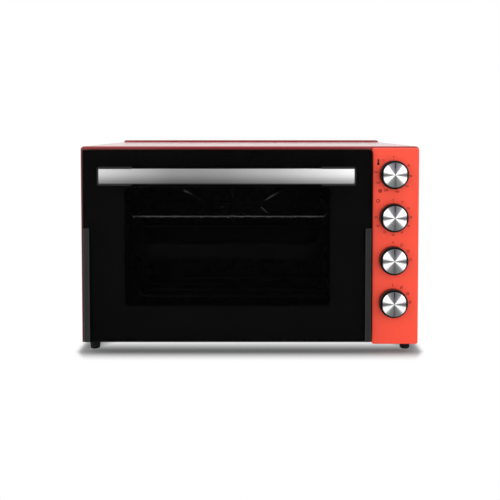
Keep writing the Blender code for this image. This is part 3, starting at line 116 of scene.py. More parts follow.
# How deep the marks in the finishes are
PEEL_DEPTH = 0.02 * MM
WAVE_DEPTH = 0.05 * MM
GRAIN_DEPTH = 0.03 * MM
SCRATCH_DEPTH = 0.02 * MM
SPANGLE_DEPTH = 0.01 * MM
WEAR_DEPTH = 0.05 * MM
BRAID_DEPTH = 0.35 * MM
FUZZ_DEPTH = 0.05 * MM
STACK_DEPTH = 0.1 * MM
SPECKLE_DEPTH = 0.05 * MM

# The cover's front edge: its depth, how far below the top its painted shade begins and is full, how
# dark
EDGE_DEPTH = 1.5 * MM
EDGE_REACH = (2.2 * MM, 5.2 * MM)
EDGE_SHADE_SHARE = 0.35

# The reflections painted into a turned knob face's colour: shares of the way from its top round to
# its bottom, and greys
KNOB_PAINTED_REFLECTION_SHARES = [
    (0.000, 0.07), (0.035, 0.13), (0.090, (0.18, 0.17, 0.20)), (0.150, (0.25, 0.24, 0.28)),
    (0.190, 0.36), (0.212, 0.95), (0.410, 0.97), (0.438, 0.45), (0.478, 0.14), (0.515, 0.12),
    (0.560, 0.42), (0.585, 0.95), (0.730, 0.95), (0.760, 0.50), (0.800, (0.24, 0.26, 0.25)),
    (0.870, 0.19), (0.935, (0.16, 0.17, 0.17)), (0.965, 0.11), (1.000, 0.10),
]

# The turned face's marks: how often they change round it and outwards, how much they move the
# painted reflections, and how close its rings lie
FACE_STREAKS = (9.0, 40.0, 1.0)
FACE_JITTER_SHARE = 0.05
FACE_RINGS = 9000.0

# The long reflections painted into the handle's colour: shares of its length and of its height, and
# greys
HANDLE_PAINTED_RUN_SHARES = [
    (0.00, 0.54), (0.12, 0.41), (0.28, 0.275), (0.40, 0.27), (0.50, 0.305), (0.70, 0.46),
    (0.87, 0.67), (1.00, 0.85),
]
HANDLE_PAINTED_RISE_SHARES = [(0.03, 0.32), (0.25, 0.52), (0.50, 0.80), (0.72, 0.98), (1.00, 1.00)]

# The handle's brushed marks: how close they lie, and their least and added share of the grey
HANDLE_GRAIN = (9.0, 1500.0, 1500.0)
MARK_LOW_SHARE = 0.93
MARK_MORE_SHARE = 0.14

# The strips' edges, with highlights and shade painted across them: shares of their width, and how
# much lighter or darker they are
STRIP_EDGE_HIGHLIGHT_SHARES = [
    (0.00, 2.1), (0.10, 1.5), (0.22, 0.75), (0.50, 0.95), (0.80, 0.75), (0.92, 1.5), (1.00, 2.1),
]
STRIP_GRAIN = (300.0, 300.0, 22.0)

# Where glints are painted on the rims in the back wall: shares of the way across it, and of their
# height
RIM_GLINT_SHARES = [
    (0.205, 0.00), (0.222, 1.00), (0.240, 0.60), (0.262, 0.05), (0.335, 0.05), (0.360, 0.00),
    (0.650, 0.00), (0.662, 0.75), (0.690, 0.50), (0.728, 1.00), (0.748, 0.35), (0.780, 0.00),
]
RIM_GLINT_HEIGHT_SHARES = [(0.05, 0.0), (0.12, 1.0), (0.40, 1.0), (0.48, 0.0), (0.68, 0.0), (0.78, 1.0)]

# The shade painted on the rack's wires, darker with depth: shares of the way back, and of their
# grey
WIRE_PAINTED_SHADE_SHARES = [
    (0.00, 0.78), (0.03, 0.60), (0.08, 0.22), (0.90, 0.18), (0.96, 0.06), (1.00, 0.05),
]

# The highlights painted on the hooks' ends: shares of their height, and greys
HOOK_PAINTED_SHINE_SHARES = [(0.10, 0.95), (0.46, 0.90), (0.58, 0.30), (0.80, 0.22), (1.00, 0.30)]

# Dial prints
PRINT_LIFT = 0.06 * MM
PRINT_WALL = 0.03 * MM
PRINT_LINE = 0.5 * MM
TICK_RADIUS = 26.9 * MM
TICK_SIZE = 0.5 * MM
SMALL_TICK_SHARE = 0.6
NUMBER_RADIUS = 30.4 * MM
NUMBER_SIZE = 4.8 * MM
THERMOSTAT_START = 59.0
THERMOSTAT_STEP = 36.5
THERMOSTAT_NUMBERS = range(40, 281, 40)
TIMER_STEP = 30.0
TIMER_NUMBERS = range(0, 91, 10)
MODE_STEP = 30.0
MODE_SIZE = 4.5 * MM
ICON_SIZE = 6.6 * MM
ICON_LINE = 0.9 * MM
THERMOMETER_PLACE = (-26.4 * MM, 21.8 * MM)
DEGREES_PLACE = (-18.2 * MM, 24.4 * MM)
PILOT_PLACE = (-22.9 * MM, -28.4 * MM)
CLOCK_PLACE = (-26.3 * MM, 28.4 * MM)

# What is on at a switch's places after zero: the lower heat and the upper heat
MODES = ((True, False), (True, True), (False, True))

# The signs' parts, as shares of half a sign or of its line
CORNER_SHARES = (1.5, 0.5)
HEAT_SHARE = 0.45
BLADE_SHARES = (0.9, 1.6)
BLADE_DEGREES = (90, 210, 330)
BULB_SHARE = 0.72
STEM_SHARES = (0.40, -0.6, 1.5, 0.39)
GRADE_SHARES = (0.20, 0.65, 1.10)
GRADE_PLACE_SHARE = 0.90
GRADE_LENGTH_SHARE = 0.55
LONG_HAND_SHARES = (0.3, 0.7)
SHORT_HAND_SHARES = (0.25, 0.6)
HAND_LINE_SHARE = 0.8

# The black border behind the door's glass
BORDER_EDGE = 0.5 * MM
BORDER_LAP = 12.0 * MM
BORDER_CORNER = 2.5 * MM
WINDOW_CORNER = 8.0 * MM
BORDER_NEAR = 0.05 * MM
BORDER_FAR = 0.12 * MM

# The dark line in a knob's face
POINTER_HALF = 0.75 * MM
POINTER_LOW = 11.6 * MM
POINTER_HIGH = 20.2 * MM
POINTER_CORNER = 0.3 * MM
POINTER_FRONT = 0.30 * MM
POINTER_BACK = 0.58 * MM

# The woven seal
GASKET_OFFSET = 4.5 * MM
GASKET_RADIUS = 2.2 * MM
GASKET_CORNER = 14.0 * MM
GASKET_STAND_SHARE = 0.9
GASKET_SIDES = 12

# The pressings in the back wall: shares of their size and of their rise, from the middle outwards
PRESSING_OFFSET = 125.0 * MM
PRESSING_SIZE = (65.0 * MM, 38.0 * MM)
PRESSING_POWER = 1.3
PRESSING_SIDES = 72
PRESSING_RISE = 2.4 * MM
PRESSING_SHARES = [(0.10, 1.0), (0.80, 1.0), (0.90, 0.92), (0.96, 0.6), (0.99, 0.25), (1.0, 0.0)]

# Their rims: the section, sideways and forwards in millimetres, and where their glints may be
# painted
RIM_SECTION = [(-1.8, -0.2), (-1.6, 2.1), (-1.15, 2.8), (1.15, 2.8), (1.6, 2.1), (1.8, -0.2)]
RIM_SPAN = (-0.230, 0.152)
RIM_RISE = (0.200, 0.240)

# The rack's hooks: their bend over the rod, then shares of their drop and of their thickness
RACK_WIRES = 15
RACK_END = 27.0 * MM
ROD_RADIUS = 2.5 * MM
HOOK_RADIUS = 1.3 * MM
HOOK_REACH = 3.3 * MM
HOOK_DROP = 3.2 * MM
HOOK_SIZE = HOOK_DROP + HOOK_RADIUS
HOOK_SIDES = 10
HOOK_DEGREES = (100, 120, 140, 160, 180)
HOOK_TIP_SHARES = ((0.5, 1.0), (0.85, 0.9), (1.0, 0.5))

# Screw heads: where the rings of their dome lie, as shares of the radius, the cross recessed in
# it, its fall towards the edge and its wall, as shares of the radius or height
SCREW_RADIUS = 3.4 * MM
SCREW_HEIGHT = 1.9 * MM
SCREW_SIDES = 32
SCREW_SHARES = (0.0, 0.12, 0.24, 0.36, 0.48, 0.62, 0.78, 0.9, 1.0)
SLOT_WIDTH_SHARE = 0.13
SLOT_LENGTH_SHARE = 0.6
SLOT_DEPTH_SHARE = 0.5
DOME_SHARE = 0.75
SCREW_WALL_SHARE = 0.25
SCREW_TURN = 0.7

# Where the screws sit
SCREW_INSET = 9.0 * MM
SCREW_EDGE = 14.0 * MM
REAR_STEP = 4.0 * MM
REAR_SCREW_OFFSET = 100.0 * MM

# Edges sharper than this stay sharp on a smooth piece
SHARP_DEGREES = 35.0

# A Mix node's sockets for colours
COLOUR_INPUTS = (6, 7)
COLOUR_OUTPUT = 2


class Finish:
    """A material whose nodes work in the object's own coordinates."""

    def __init__(self, name):
        self.material = bpy.data.materials.new(name)
        self.material.use_nodes = True
        self.tree = self.material.node_tree
        self.shader = self.tree.nodes["Principled BSDF"]
        self.coords = self.tree.nodes.new("ShaderNodeTexCoord").outputs["Object"]

    def put(self, socket, value):
        """Links an output to a socket, or sets the socket to a plain value."""
        if isinstance(value, bpy.types.NodeSocket):
            self.tree.links.new(value, socket)
        else:
            socket.default_value = value

    def set(self, **values):
        """Sets or links the shader's own sockets by name."""
        for name, value in values.items():
            socket = self.shader.inputs[name.replace("_", " ")]
            if isinstance(value, tuple) and len(value) == 3:
                value = (*value, 1.0)
            self.put(socket, value)

    def vector(self, operation, first, second=(0.0, 0.0, 0.0)):
        node = self.tree.nodes.new("ShaderNodeVectorMath")
        node.operation = operation
        self.put(node.inputs[0], first)
        node.inputs[1].default_value = second
        return node.outputs["Value" if operation == "LENGTH" else "Vector"]

    def stretched(self, scales):
        """The object's own coordinates, each times its own scale."""
        return self.vector("MULTIPLY", self.coords, scales)

    def noise(self, scale, detail=3.0, roughness=0.5, vector=None):
        node = self.tree.nodes.new("ShaderNodeTexNoise")
        self.put(node.inputs["Vector"], vector or self.coords)
        node.inputs["Scale"].default_value = scale
        node.inputs["Detail"].default_value = detail
        node.inputs["Roughness"].default_value = roughness
        return node.outputs["Fac"]

    def cells(self, scale, output="Distance"):
        node = self.tree.nodes.new("ShaderNodeTexVoronoi")
        self.put(node.inputs["Vector"], self.coords)
        node.inputs["Scale"].default_value = scale
        return node.outputs[output]

    def math(self, operation, first, second=0.0):
        node = self.tree.nodes.new("ShaderNodeMath")
        node.operation = operation
        self.put(node.inputs[0], first)
        self.put(node.inputs[1], second)
        return node.outputs[0]

    def point(self, x, y):
        node = self.tree.nodes.new("ShaderNodeCombineXYZ")
        self.put(node.inputs[0], x)
        self.put(node.inputs[1], y)
        return node.outputs[0]

    def part(self, axis, vector=None):
        """One coordinate of a vector, or of the place on the object."""
        node = self.tree.nodes.new("ShaderNodeSeparateXYZ")
        self.put(node.inputs[0], vector or self.coords)
        return node.outputs[axis]

    def along(self, axis, start, end):
        """0 to 1, evenly, as the place on the object goes from start to end along an axis."""
        return self.math("DIVIDE", self.math("SUBTRACT", self.part(axis), start), end - start)

    def eased(self, value, start, end):
        """0 to 1, gently, as the value goes from start to end."""
        node = self.tree.nodes.new("ShaderNodeMapRange")
        node.interpolation_type = "SMOOTHSTEP"
        self.put(node.inputs["Value"], value)
        node.inputs["From Min"].default_value = start
        node.inputs["From Max"].default_value = end
        return node.outputs[0]

    def ramp(self, factor, stops):
        """A ramp of colours or greys over 0 to 1."""
        node = self.tree.nodes.new("ShaderNodeValToRGB")
        self.put(node.inputs[0], factor)
        elements = node.color_ramp.elements
        while len(elements) < len(stops):
            elements.new(0.5)
        for element, (place, colour) in zip(elements, stops):
            element.position = place
            if not isinstance(colour, tuple):
                colour = (colour,) * 3
            element.color = (*colour, 1.0)
        return node.outputs["Color"]

    def spread(self, factor, low, high, start=0.2, end=0.8):
        """A colour or grey from low to high as the factor goes from start to end."""
        return self.ramp(factor, [(start, low), (end, high)])

    def vary(self, colour, factor, low, high):
        """The colour, from one share of it to the other with the factor."""
        return self.spread(factor, tint(colour, low), tint(colour, high), start=0.25, end=0.75)

    def uneven(self, value, factor, low, high):
        """The value, from one share of it to the other with the factor."""
        return self.spread(factor, value * low, value * high)

    def product(self, first, second):
        """One colour multiplied by another, on the node's own sockets for colours."""
        node = self.tree.nodes.new("ShaderNodeMix")
        node.data_type = "RGBA"
        node.blend_type = "MULTIPLY"
        node.inputs[0].default_value = 1.0
        self.put(node.inputs[COLOUR_INPUTS[0]], first)
        self.put(node.inputs[COLOUR_INPUTS[1]], second)
        return node.outputs[COLOUR_OUTPUT]

    def bump(self, height, distance, strength, below=None):
        node = self.tree.nodes.new("ShaderNodeBump")
        self.put(node.inputs["Height"], height)
        node.inputs["Distance"].default_value = distance
        node.inputs["Strength"].default_value = strength
        if below:
            self.put(node.inputs["Normal"], below)
        return node.outputs["Normal"]


def tint(colour, share):
    """A share of a colour, which may be more than the whole."""
    return tuple(min(1.0, value * share) for value in colour)


def gloss_paint(name, colour, roughness, level, coat, edged=None):
    """Sprayed and baked paint: faint orange peel under a clear gloss.

    The front edge of the edged node has shade painted into its colour, darker towards the door,
    which keeps the light from it.
    """
    finish = Finish(name)
    cloud = finish.noise(9.0, detail=4.0, roughness=0.6)
    peel = finish.noise(420.0, detail=2.0)
    paint = finish.vary(colour, cloud, low=0.93, high=1.05)
    # Painted shade: the cover's front edge darker towards the door
    if edged:
        low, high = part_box(edged)
        ahead = finish.eased(finish.part("Y"), low.y + EDGE_DEPTH, low.y)
        inward = finish.math("SUBTRACT", high.z, finish.part("Z"))
        shade = finish.math("MULTIPLY", ahead, finish.eased(inward, *EDGE_REACH))
        painted_light = finish.spread(shade, 1.0, EDGE_SHADE_SHARE, start=0.0, end=1.0)
        paint = finish.product(paint, painted_light)
    finish.set(
        Base_Color=paint,
        Roughness=finish.uneven(roughness, cloud, low=0.85, high=1.2),
        Normal=finish.bump(peel, PEEL_DEPTH, strength=0.35),
        Specular_IOR_Level=level,
        Coat_Weight=coat,
        Coat_Roughness=0.06,
    )
    return finish.material


def enamel(name, colour, roughness, speck):
    """Fired enamel: small lighter specks and a slightly wavy gloss."""
    finish = Finish(name)
    dots = finish.cells(420.0)
    wave = finish.noise(60.0)
    specks = finish.spread(dots, tint(colour, speck), colour, start=0.05, end=0.22)
    finish.set(
        Base_Color=finish.product(specks, finish.spread(wave, 0.8, 1.0)),
        Roughness=finish.uneven(roughness, wave, low=0.8, high=1.25),
        Normal=finish.bump(wave, WAVE_DEPTH, strength=0.4),
        Specular_IOR_Level=ENAMEL_GLOSS,
    )
    return finish.material


def moulding(name, colour, roughness, level=0.25, grain=900.0):
    """Moulded plastic or rubber with a fine grain."""
    finish = Finish(name)
    fine = finish.noise(grain, detail=2.0)
    cloud = finish.noise(30.0)
    finish.set(
        Base_Color=finish.vary(colour, cloud, low=0.85, high=1.15),
        Roughness=finish.uneven(roughness, cloud, low=0.88, high=1.1),
        Normal=finish.bump(fine, GRAIN_DEPTH, strength=0.5),
        Specular_IOR_Level=level,
    )
    return finish.material


def brushed(name, colour, roughness):
    """Metal with fine scratches."""
    finish = Finish(name)
    lines = finish.noise(1400.0, detail=2.0)
    cloud = finish.noise(14.0)
    finish.set(
        Base_Color=finish.vary(colour, lines, low=0.90, high=1.08),
        Metallic=1.0,
        Roughness=finish.uneven(roughness, cloud, low=0.85, high=1.2),
        Normal=finish.bump(lines, SCRATCH_DEPTH, strength=0.5),
    )
    return finish.material


def wire_metal(name, node):
    """The rack's chromed wire, with shade painted darker and darker with depth, where the light
    from the window reaches it less and less.
    """
    low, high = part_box(node)
    finish = Finish(name)
    fine = finish.noise(700.0)
    cloud = finish.noise(25.0)
    chrome = finish.vary(CHROME, cloud, low=0.92, high=1.06)
    # Painted shade: the chrome darker and darker towards the back
    painted_light = finish.ramp(finish.along("Y", low.y, high.y), WIRE_PAINTED_SHADE_SHARES)
    finish.set(
        Base_Color=finish.product(chrome, painted_light),
        Metallic=1.0,
        Roughness=finish.spread(cloud, 0.20, 0.30),
        Normal=finish.bump(fine, SCRATCH_DEPTH, strength=0.4),
    )
    return finish.material


def hook_metal(name, level):
    """The wires' bent ends, with a highlight painted brightest where they face the window under the
    rod.
    """
    finish = Finish(name)
    fine = finish.noise(700.0)
    # The hooks' colour is a painted highlight, brightest low on their front
    up = finish.along("Z", level - HOOK_SIZE, level + HOOK_SIZE)
    finish.set(
        Base_Color=finish.ramp(up, HOOK_PAINTED_SHINE_SHARES),
        Metallic=1.0,
        Roughness=finish.spread(fine, 0.20, 0.30),
        Normal=finish.bump(fine, SCRATCH_DEPTH, strength=0.4),
    )
    return finish.material


def galvanised(name, colour):
    """Zinc-coated sheet with its spangle."""
    finish = Finish(name)
    scratches = finish.noise(500.0)
    grey = finish.tree.nodes.new("ShaderNodeRGBToBW")
    finish.put(grey.inputs[0], finish.cells(95.0, "Color"))
    spangle = grey.outputs[0]
    finish.set(
        Base_Color=finish.spread(spangle, tint(colour, 0.82), tint(colour, 1.1)),
        Metallic=1.0,
        Roughness=finish.spread(spangle, 0.34, 0.52),
        Normal=finish.bump(scratches, SPANGLE_DEPTH, strength=0.4),
    )
    return finish.material


def pane(name, colour, alpha, level):
    """Glass seen through as a thin pane, with faint smears in its gloss."""
    finish = Finish(name)
    smear = finish.noise(7.0, detail=4.0, roughness=0.6)
    finish.set(
        Base_Color=finish.vary(colour, smear, low=0.9, high=1.1),
        Roughness=finish.spread(smear, 0.03, 0.10, start=0.3),
        Alpha=alpha,
        Specular_IOR_Level=level,
    )
    finish.material.surface_render_method = "BLENDED"
    return finish.material


def spun_face(name, node):
    """A knob's turned metal face: rings of fine marks, and fans of light painted into its colour.
    """
    low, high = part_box(node)
    finish = Finish(name)
    across = finish.math("SUBTRACT", finish.part("X"), (low.x + high.x) / 2)
    up = finish.math("SUBTRACT", finish.part("Z"), (low.z + high.z) / 2)
    angle = finish.math("ARCTAN2", across, up)
    share = finish.math("DIVIDE", finish.math("ABSOLUTE", angle), math.pi)
    radius = finish.vector("LENGTH", finish.point(across, up))
    streaks = finish.vector("MULTIPLY", finish.point(angle, radius), FACE_STREAKS)
    jitter = finish.noise(3.0, roughness=0.6, vector=streaks)
    move = finish.math("MULTIPLY", finish.math("SUBTRACT", jitter, 0.5), FACE_JITTER_SHARE)
    rings = finish.math("SINE", finish.math("MULTIPLY", radius, FACE_RINGS))
    # The face's colour carries painted reflections, which turn with the knob
    finish.set(
        Base_Color=finish.ramp(finish.math("ADD", share, move), KNOB_PAINTED_REFLECTION_SHARES),
        Metallic=1.0,
        Roughness=finish.spread(jitter, 0.24, 0.34, start=0.3, end=0.7),
        Normal=finish.bump(rings, SCRATCH_DEPTH, strength=0.25),
        Anisotropic=0.4,
    )
    return finish.material


def handle_metal(name, node):
    """The bar's brushed metal, with long soft reflections painted into its colour along it."""
    low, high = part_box(node)
    finish = Finish(name)
    lines = finish.noise(1.0, detail=2.0, vector=finish.stretched(HANDLE_GRAIN))
    # Painted reflections: bright towards the ends, darker in the middle and low down
    run = finish.ramp(finish.along("X", low.x, high.x), HANDLE_PAINTED_RUN_SHARES)
    rise = finish.ramp(finish.along("Z", low.z, high.z), HANDLE_PAINTED_RISE_SHARES)
    shade = finish.math("MULTIPLY", run, rise)
    more = finish.math("MULTIPLY", lines, MARK_MORE_SHARE)
    marks = finish.math("ADD", MARK_LOW_SHARE, more)
    finish.set(
        Base_Color=finish.math("MULTIPLY", shade, marks),
        Metallic=1.0,
        Roughness=finish.spread(lines, 0.28, 0.38, start=0.3, end=0.7),
        Normal=finish.bump(lines, SCRATCH_DEPTH, strength=0.3),
        Anisotropic=0.5,
    )
    return finish.material


def strip_plastic(name, node):
    """Moulded plastic with highlights painted along the two rounded edges of a strip, and painted
    shade between.
    """
    low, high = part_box(node)
    finish = Finish(name)
    fine = finish.noise(1100.0, detail=2.0)
    cloud = finish.noise(1.0, vector=finish.stretched(STRIP_GRAIN))
    plastic = finish.vary(TRIM_GREY, cloud, low=0.8, high=1.2)
    # Painted highlights on the rounded edges, and painted shade just inside them
    edge_highlights = finish.ramp(finish.along("X", low.x, high.x), STRIP_EDGE_HIGHLIGHT_SHARES)
    finish.set(
        Base_Color=finish.product(plastic, edge_highlights),
        Roughness=finish.spread(cloud, 0.42, 0.55),
        Normal=finish.bump(fine, GRAIN_DEPTH, strength=0.5),
        Specular_IOR_Level=0.15,
    )
    return finish.material


def pressed_rim(name):
    """The rims of the back wall's pressings: dark metal with glints painted bright at given places.
    """
    finish = Finish(name)
    rim_mottle = finish.noise(160.0)
    # Painted glints: bright metal colour only at given places on the rims, with a little mottle
    across = finish.ramp(finish.along("X", *RIM_SPAN), RIM_GLINT_SHARES)
    up = finish.ramp(finish.along("Z", *RIM_RISE), RIM_GLINT_HEIGHT_SHARES)
    glint_place = finish.math("MULTIPLY", across, up)
    glint = finish.math("MULTIPLY", glint_place, finish.spread(rim_mottle, 0.75, 1.0, end=0.7))
    finish.set(
        Base_Color=finish.spread(glint, RIM_DARK, RIM_BRIGHT, start=0.0, end=1.0),
        Metallic=1.0,
        Roughness=finish.spread(rim_mottle, 0.30, 0.40),
        Normal=finish.bump(rim_mottle, WEAR_DEPTH, strength=0.4),
    )
    return finish.material


def woven(name, colour):
    """A braided cord of glass yarn."""
    finish = Finish(name)
    braid = finish.cells(900.0)
    fuzz = finish.noise(2600.0, detail=2.0)
    below = finish.bump(fuzz, FUZZ_DEPTH, strength=0.5)
    finish.set(
        Base_Color=finish.vary(colour, braid, low=1.3, high=0.6),
        Roughness=finish.spread(fuzz, 0.8, 0.95),
        Normal=finish.bump(braid, BRAID_DEPTH, strength=0.8, below=below),
        Specular_IOR_Level=0.2,
    )
    return finish.material


def laminated(name, colour):
    """A motor's stack of thin sheets."""
    finish = Finish(name)
    node = finish.tree.nodes.new("ShaderNodeTexWave")
    node.bands_direction = "Y"
    node.inputs["Scale"].default_value = 320.0
    finish.put(node.inputs["Vector"], finish.coords)
    sheets = node.outputs["Fac"]
    finish.set(
        Base_Color=finish.spread(sheets, tint(colour, 0.5), colour, end=0.7),
        Metallic=1.0,
        Roughness=finish.spread(finish.noise(50.0), 0.4, 0.6),
        Normal=finish.bump(sheets, STACK_DEPTH, strength=0.6),
    )
    return finish.material


def dress(material, *names):
    """Gives CAD nodes a material."""
    for name in names:
        for place in NODES[name].material_slots:
            place.material = material


def dress_pair(material, *stems):
    """Gives a material to the left and the right node of each name."""
    for stem in stems:
        dress(material, stem + "_left", stem + "_right")


def piece(name, bm, material, body, smooth=False):
    """Turns a bmesh in the model's own frame into a piece that rides on a body."""
    bmesh.ops.recalc_face_normals(bm, faces=bm.faces)
    mesh = bpy.data.meshes.new(name)
    bm.to_mesh(mesh)
    bm.free()
    mesh.materials.append(material)
    obj = bpy.data.objects.new(name, mesh)
    bpy.context.scene.collection.objects.link(obj)
    if smooth:
        mesh.shade_smooth()
        mesh.set_sharp_from_angle(angle=math.radians(SHARP_DEGREES))
    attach(obj, body)


def circle(u, v, radius, sides=24):
    """A round outline."""
    angles = [2 * math.pi * i / sides for i in range(sides)]
    return [(u + radius * math.cos(angle), v + radius * math.sin(angle)) for angle in angles]


def rounded(left, right, low, high, radius, steps=6):
    """The outline of a rectangle with round corners."""
    corners = [
        (right - radius, low + radius, -90),
        (right - radius, high - radius, 0),
        (left + radius, high - radius, 90),
        (left + radius, low + radius, 180),
    ]
    points = []
    for u, v, start in corners:
        for i in range(steps + 1):
            angle = math.radians(start + 90 * i / steps)
            points.append((u + radius * math.cos(angle), v + radius * math.sin(angle)))
    return points


def lozenge(u, v, half):
    """An outline between a rhombus and an oval."""
    points = []
    for across, up in circle(0.0, 0.0, 1.0, sides=PRESSING_SIDES):
        reach = [math.copysign(abs(value) ** (2 / PRESSING_POWER), value) for value in (across, up)]
        points.append((u + half[0] * reach[0], v + half[1] * reach[1]))
    return points


def ring(bm, outline, level):
    """The vertices of an upright outline at a depth."""
    return [bm.verts.new((u, level, v)) for u, v in outline]


def bridge(bm, near, far):
    """Adds the band of faces between two rings of equal length."""
    count = len(near)
    for i in range(count):
        j = (i + 1) % count
        bm.faces.new((near[i], near[j], far[j], far[i]))


def skin(bm, rings):
    """Adds a closed form: a band between neighbouring rings, and a face at each end."""
    for near, far in zip(rings, rings[1:]):
        bridge(bm, near, far)
    bm.faces.new(rings[0])
    bm.faces.new(rings[-1])


def slab(bm, outline, front, back):
    """Adds a thin upright sheet between two depths."""
    skin(bm, [ring(bm, outline, level) for level in (front, back)])


def framed_sheet(bm, outer, inner, front, back):
    """Adds a thin upright sheet with one opening; both outlines have the same number of points."""
    near_outer, near_inner, far_outer, far_inner = [
        ring(bm, outline, level) for level in (front, back) for outline in (outer, inner)
    ]
    bridge(bm, near_outer, near_inner)
    bridge(bm, far_outer, far_inner)
    bridge(bm, near_outer, far_outer)
    bridge(bm, near_inner, far_inner)


def rope(bm, path, level, section):
    """Adds a bar along a closed upright outline; its section says how far sideways and forwards."""
    count = len(path)
    rings = []
    for i, (u, v) in enumerate(path):
        before = Vector(path[i - 1])
        after = Vector(path[(i + 1) % count])
        along = (after - before).normalized()
        out = Vector((along.y, -along.x))
        places = [(u + out.x * side, level - ahead, v + out.y * side) for side, ahead in section]
        rings.append([bm.verts.new(place) for place in places])
    for i in range(count):
        bridge(bm, rings[i], rings[(i + 1) % count])


def add_text(bm, text, size, u, v, level):
    """Adds flat lettering, centred on a place, facing the front."""
    curve = bpy.data.curves.new("text", "FONT")
    curve.body = text
    curve.size = size
    curve.align_x = "CENTER"
    curve.align_y = "CENTER"
    curve.extrude = PRINT_WALL
    curve.resolution_u = 3
    obj = bpy.data.objects.new("text", curve)
    mesh = bpy.data.meshes.new_from_object(obj)
    for vertex in mesh.vertices:
        x, y, z = vertex.co
        vertex.co = (u + x, level - z, v + y)
    bm.from_mesh(mesh)
    bpy.data.objects.remove(obj)
    bpy.data.curves.remove(curve)
    bpy.data.meshes.remove(mesh)


def add_print(bm, level, outer, inner=None):
    """Adds a printed form, whole or with one opening."""
    front, back = level - PRINT_WALL, level + PRINT_WALL
    if inner:
        framed_sheet(bm, outer, inner, front, back)
    else:
        slab(bm, outer, front, back)


def add_bar(bm, u, v, width, height, level, turn=0.0):
    """Adds a small printed bar with its middle at a place."""
    c, s = math.cos(turn), math.sin(turn)
    corners = [(-width, -height), (width, -height), (width, height), (-width, height)]
    add_print(bm, level, [(u + (x * c - y * s) / 2, v + (x * s + y * c) / 2) for x, y in corners])


def add_dot(bm, u, v, radius, level):
    """Adds a printed dot."""
    add_print(bm, level, circle(u, v, radius, sides=16))


def add_circle(bm, u, v, radius, level):
    """Adds a printed circle line."""
    add_print(bm, level, circle(u, v, radius), circle(u, v, radius - ICON_LINE))


def add_mode_sign(bm, u, v, level, lower, upper, fan):
    """Adds a sign for what is on: a cavity with its lower heat, upper heat or fan."""
    half = MODE_SIZE / 2
    inside = half - PRINT_LINE
    outer_corner, inner_corner = [PRINT_LINE * share for share in CORNER_SHARES]
    outer = rounded(u - half, u + half, v - half, v + half, outer_corner, steps=3)
    inner = rounded(u - inside, u + inside, v - inside, v + inside, inner_corner, steps=3)
    add_print(bm, level, outer, inner)
    for shown, sign in ((lower, -1), (upper, 1)):
        if shown:
            add_bar(bm, u, v + sign * half * HEAT_SHARE, half, PRINT_LINE, level)
    if fan:
        reach_share, length_share = BLADE_SHARES
        reach = PRINT_LINE * reach_share
        for degrees in BLADE_DEGREES:
            turn = math.radians(degrees)
            middle = (u + reach * math.cos(turn), v + reach * math.sin(turn))
            add_bar(bm, *middle, reach * length_share, PRINT_LINE, level, turn)


def add_thermometer(bm, u, v, level):
    """Adds the sign for the thermostat: a bulb, a stem and three grades."""
    half = ICON_SIZE / 2
    add_dot(bm, u, v - half, half * BULB_SHARE, level)
    side, foot, top, corner = [half * share for share in STEM_SHARES]
    add_print(bm, level, rounded(u - side, u + side, v + foot, v + top, corner, steps=4))
    place, length = half * GRADE_PLACE_SHARE, half * GRADE_LENGTH_SHARE
    for share in GRADE_SHARES:
        add_bar(bm, u + place, v + half * share, length, PRINT_LINE, level)


def add_pilot(bm, u, v, level):
    """Adds the sign for the lamp that shows that the oven heats: a crossed circle."""
    radius = ICON_SIZE / 2
    add_circle(bm, u, v, radius, level)
    for turn in (math.pi / 4, -math.pi / 4):
        add_bar(bm, u, v, 2 * radius - ICON_LINE, ICON_LINE, level, turn)


def add_clock(bm, u, v, level):
    """Adds the sign for the timer: a clock's circle and hands."""
    radius = ICON_SIZE / 2
    line = PRINT_LINE * HAND_LINE_SHARE
    add_circle(bm, u, v, radius, level)
    middle, length = [radius * share for share in LONG_HAND_SHARES]
    add_bar(bm, u, v + middle, line, length, level)
    middle, length = [radius * share for share in SHORT_HAND_SHARES]
    add_bar(bm, u + middle, v, length, line, level)


def around(centre, radius, degrees):
    """A place round a knob, clockwise from its top."""
    angle = math.radians(degrees)
    return centre[0] + radius * math.sin(angle), centre[1] + radius * math.cos(angle)


def beside(centre, offset):
    """A place at an offset from a knob."""
    return centre[0] + offset[0], centre[1] + offset[1]


def knob_centre(name):
    low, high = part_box(name + "_knob")
    return (low.x + high.x) / 2, (low.z + high.z) / 2


def print_scale(bm, centre, marks, level):
    """Prints numbers round a knob, each with its tick, and a smaller tick between neighbours."""
    for degrees, text in marks:
        add_text(bm, text, NUMBER_SIZE, *around(centre, NUMBER_RADIUS, degrees), level)
        add_dot(bm, *around(centre, TICK_RADIUS, degrees), TICK_SIZE, level)
    for (first, _), (second, _) in zip(marks, marks[1:]):
        place = around(centre, TICK_RADIUS, (first + second) / 2)
        add_dot(bm, *place, TICK_SIZE * SMALL_TICK_SHARE, level)


def print_thermostat(bm, centre, level):
    marks = [(0.0, "0")]
    for i, number in enumerate(THERMOSTAT_NUMBERS):
        marks.append((THERMOSTAT_START + THERMOSTAT_STEP * i, str(number)))
    print_scale(bm, centre, marks, level)
    add_thermometer(bm, *beside(centre, THERMOMETER_PLACE), level)
    add_text(bm, "\N{DEGREE SIGN}C", NUMBER_SIZE, *beside(centre, DEGREES_PLACE), level)
    add_pilot(bm, *beside(centre, PILOT_PLACE), level)


def print_timer(bm, centre, level):
    marks = [(TIMER_STEP * i, str(number)) for i, number in enumerate(TIMER_NUMBERS)]
    print_scale(bm, centre, marks, level)
    add_clock(bm, *beside(centre, CLOCK_PLACE), level)


def print_switch(bm, centre, level, fan):
    """Prints a zero and the signs for each heat round a switch, with or without the fan."""
    add_text(bm, "0", NUMBER_SIZE, *around(centre, NUMBER_RADIUS, 0.0), level)
    for i, (lower, upper) in enumerate(MODES):
        place = around(centre, NUMBER_RADIUS, MODE_STEP * (i + 1))
        add_mode_sign(bm, *place, level, lower, upper, fan)
    for i in range(len(MODES) + 1):
        add_dot(bm, *around(centre, TICK_RADIUS, MODE_STEP * i), TICK_SIZE, level)


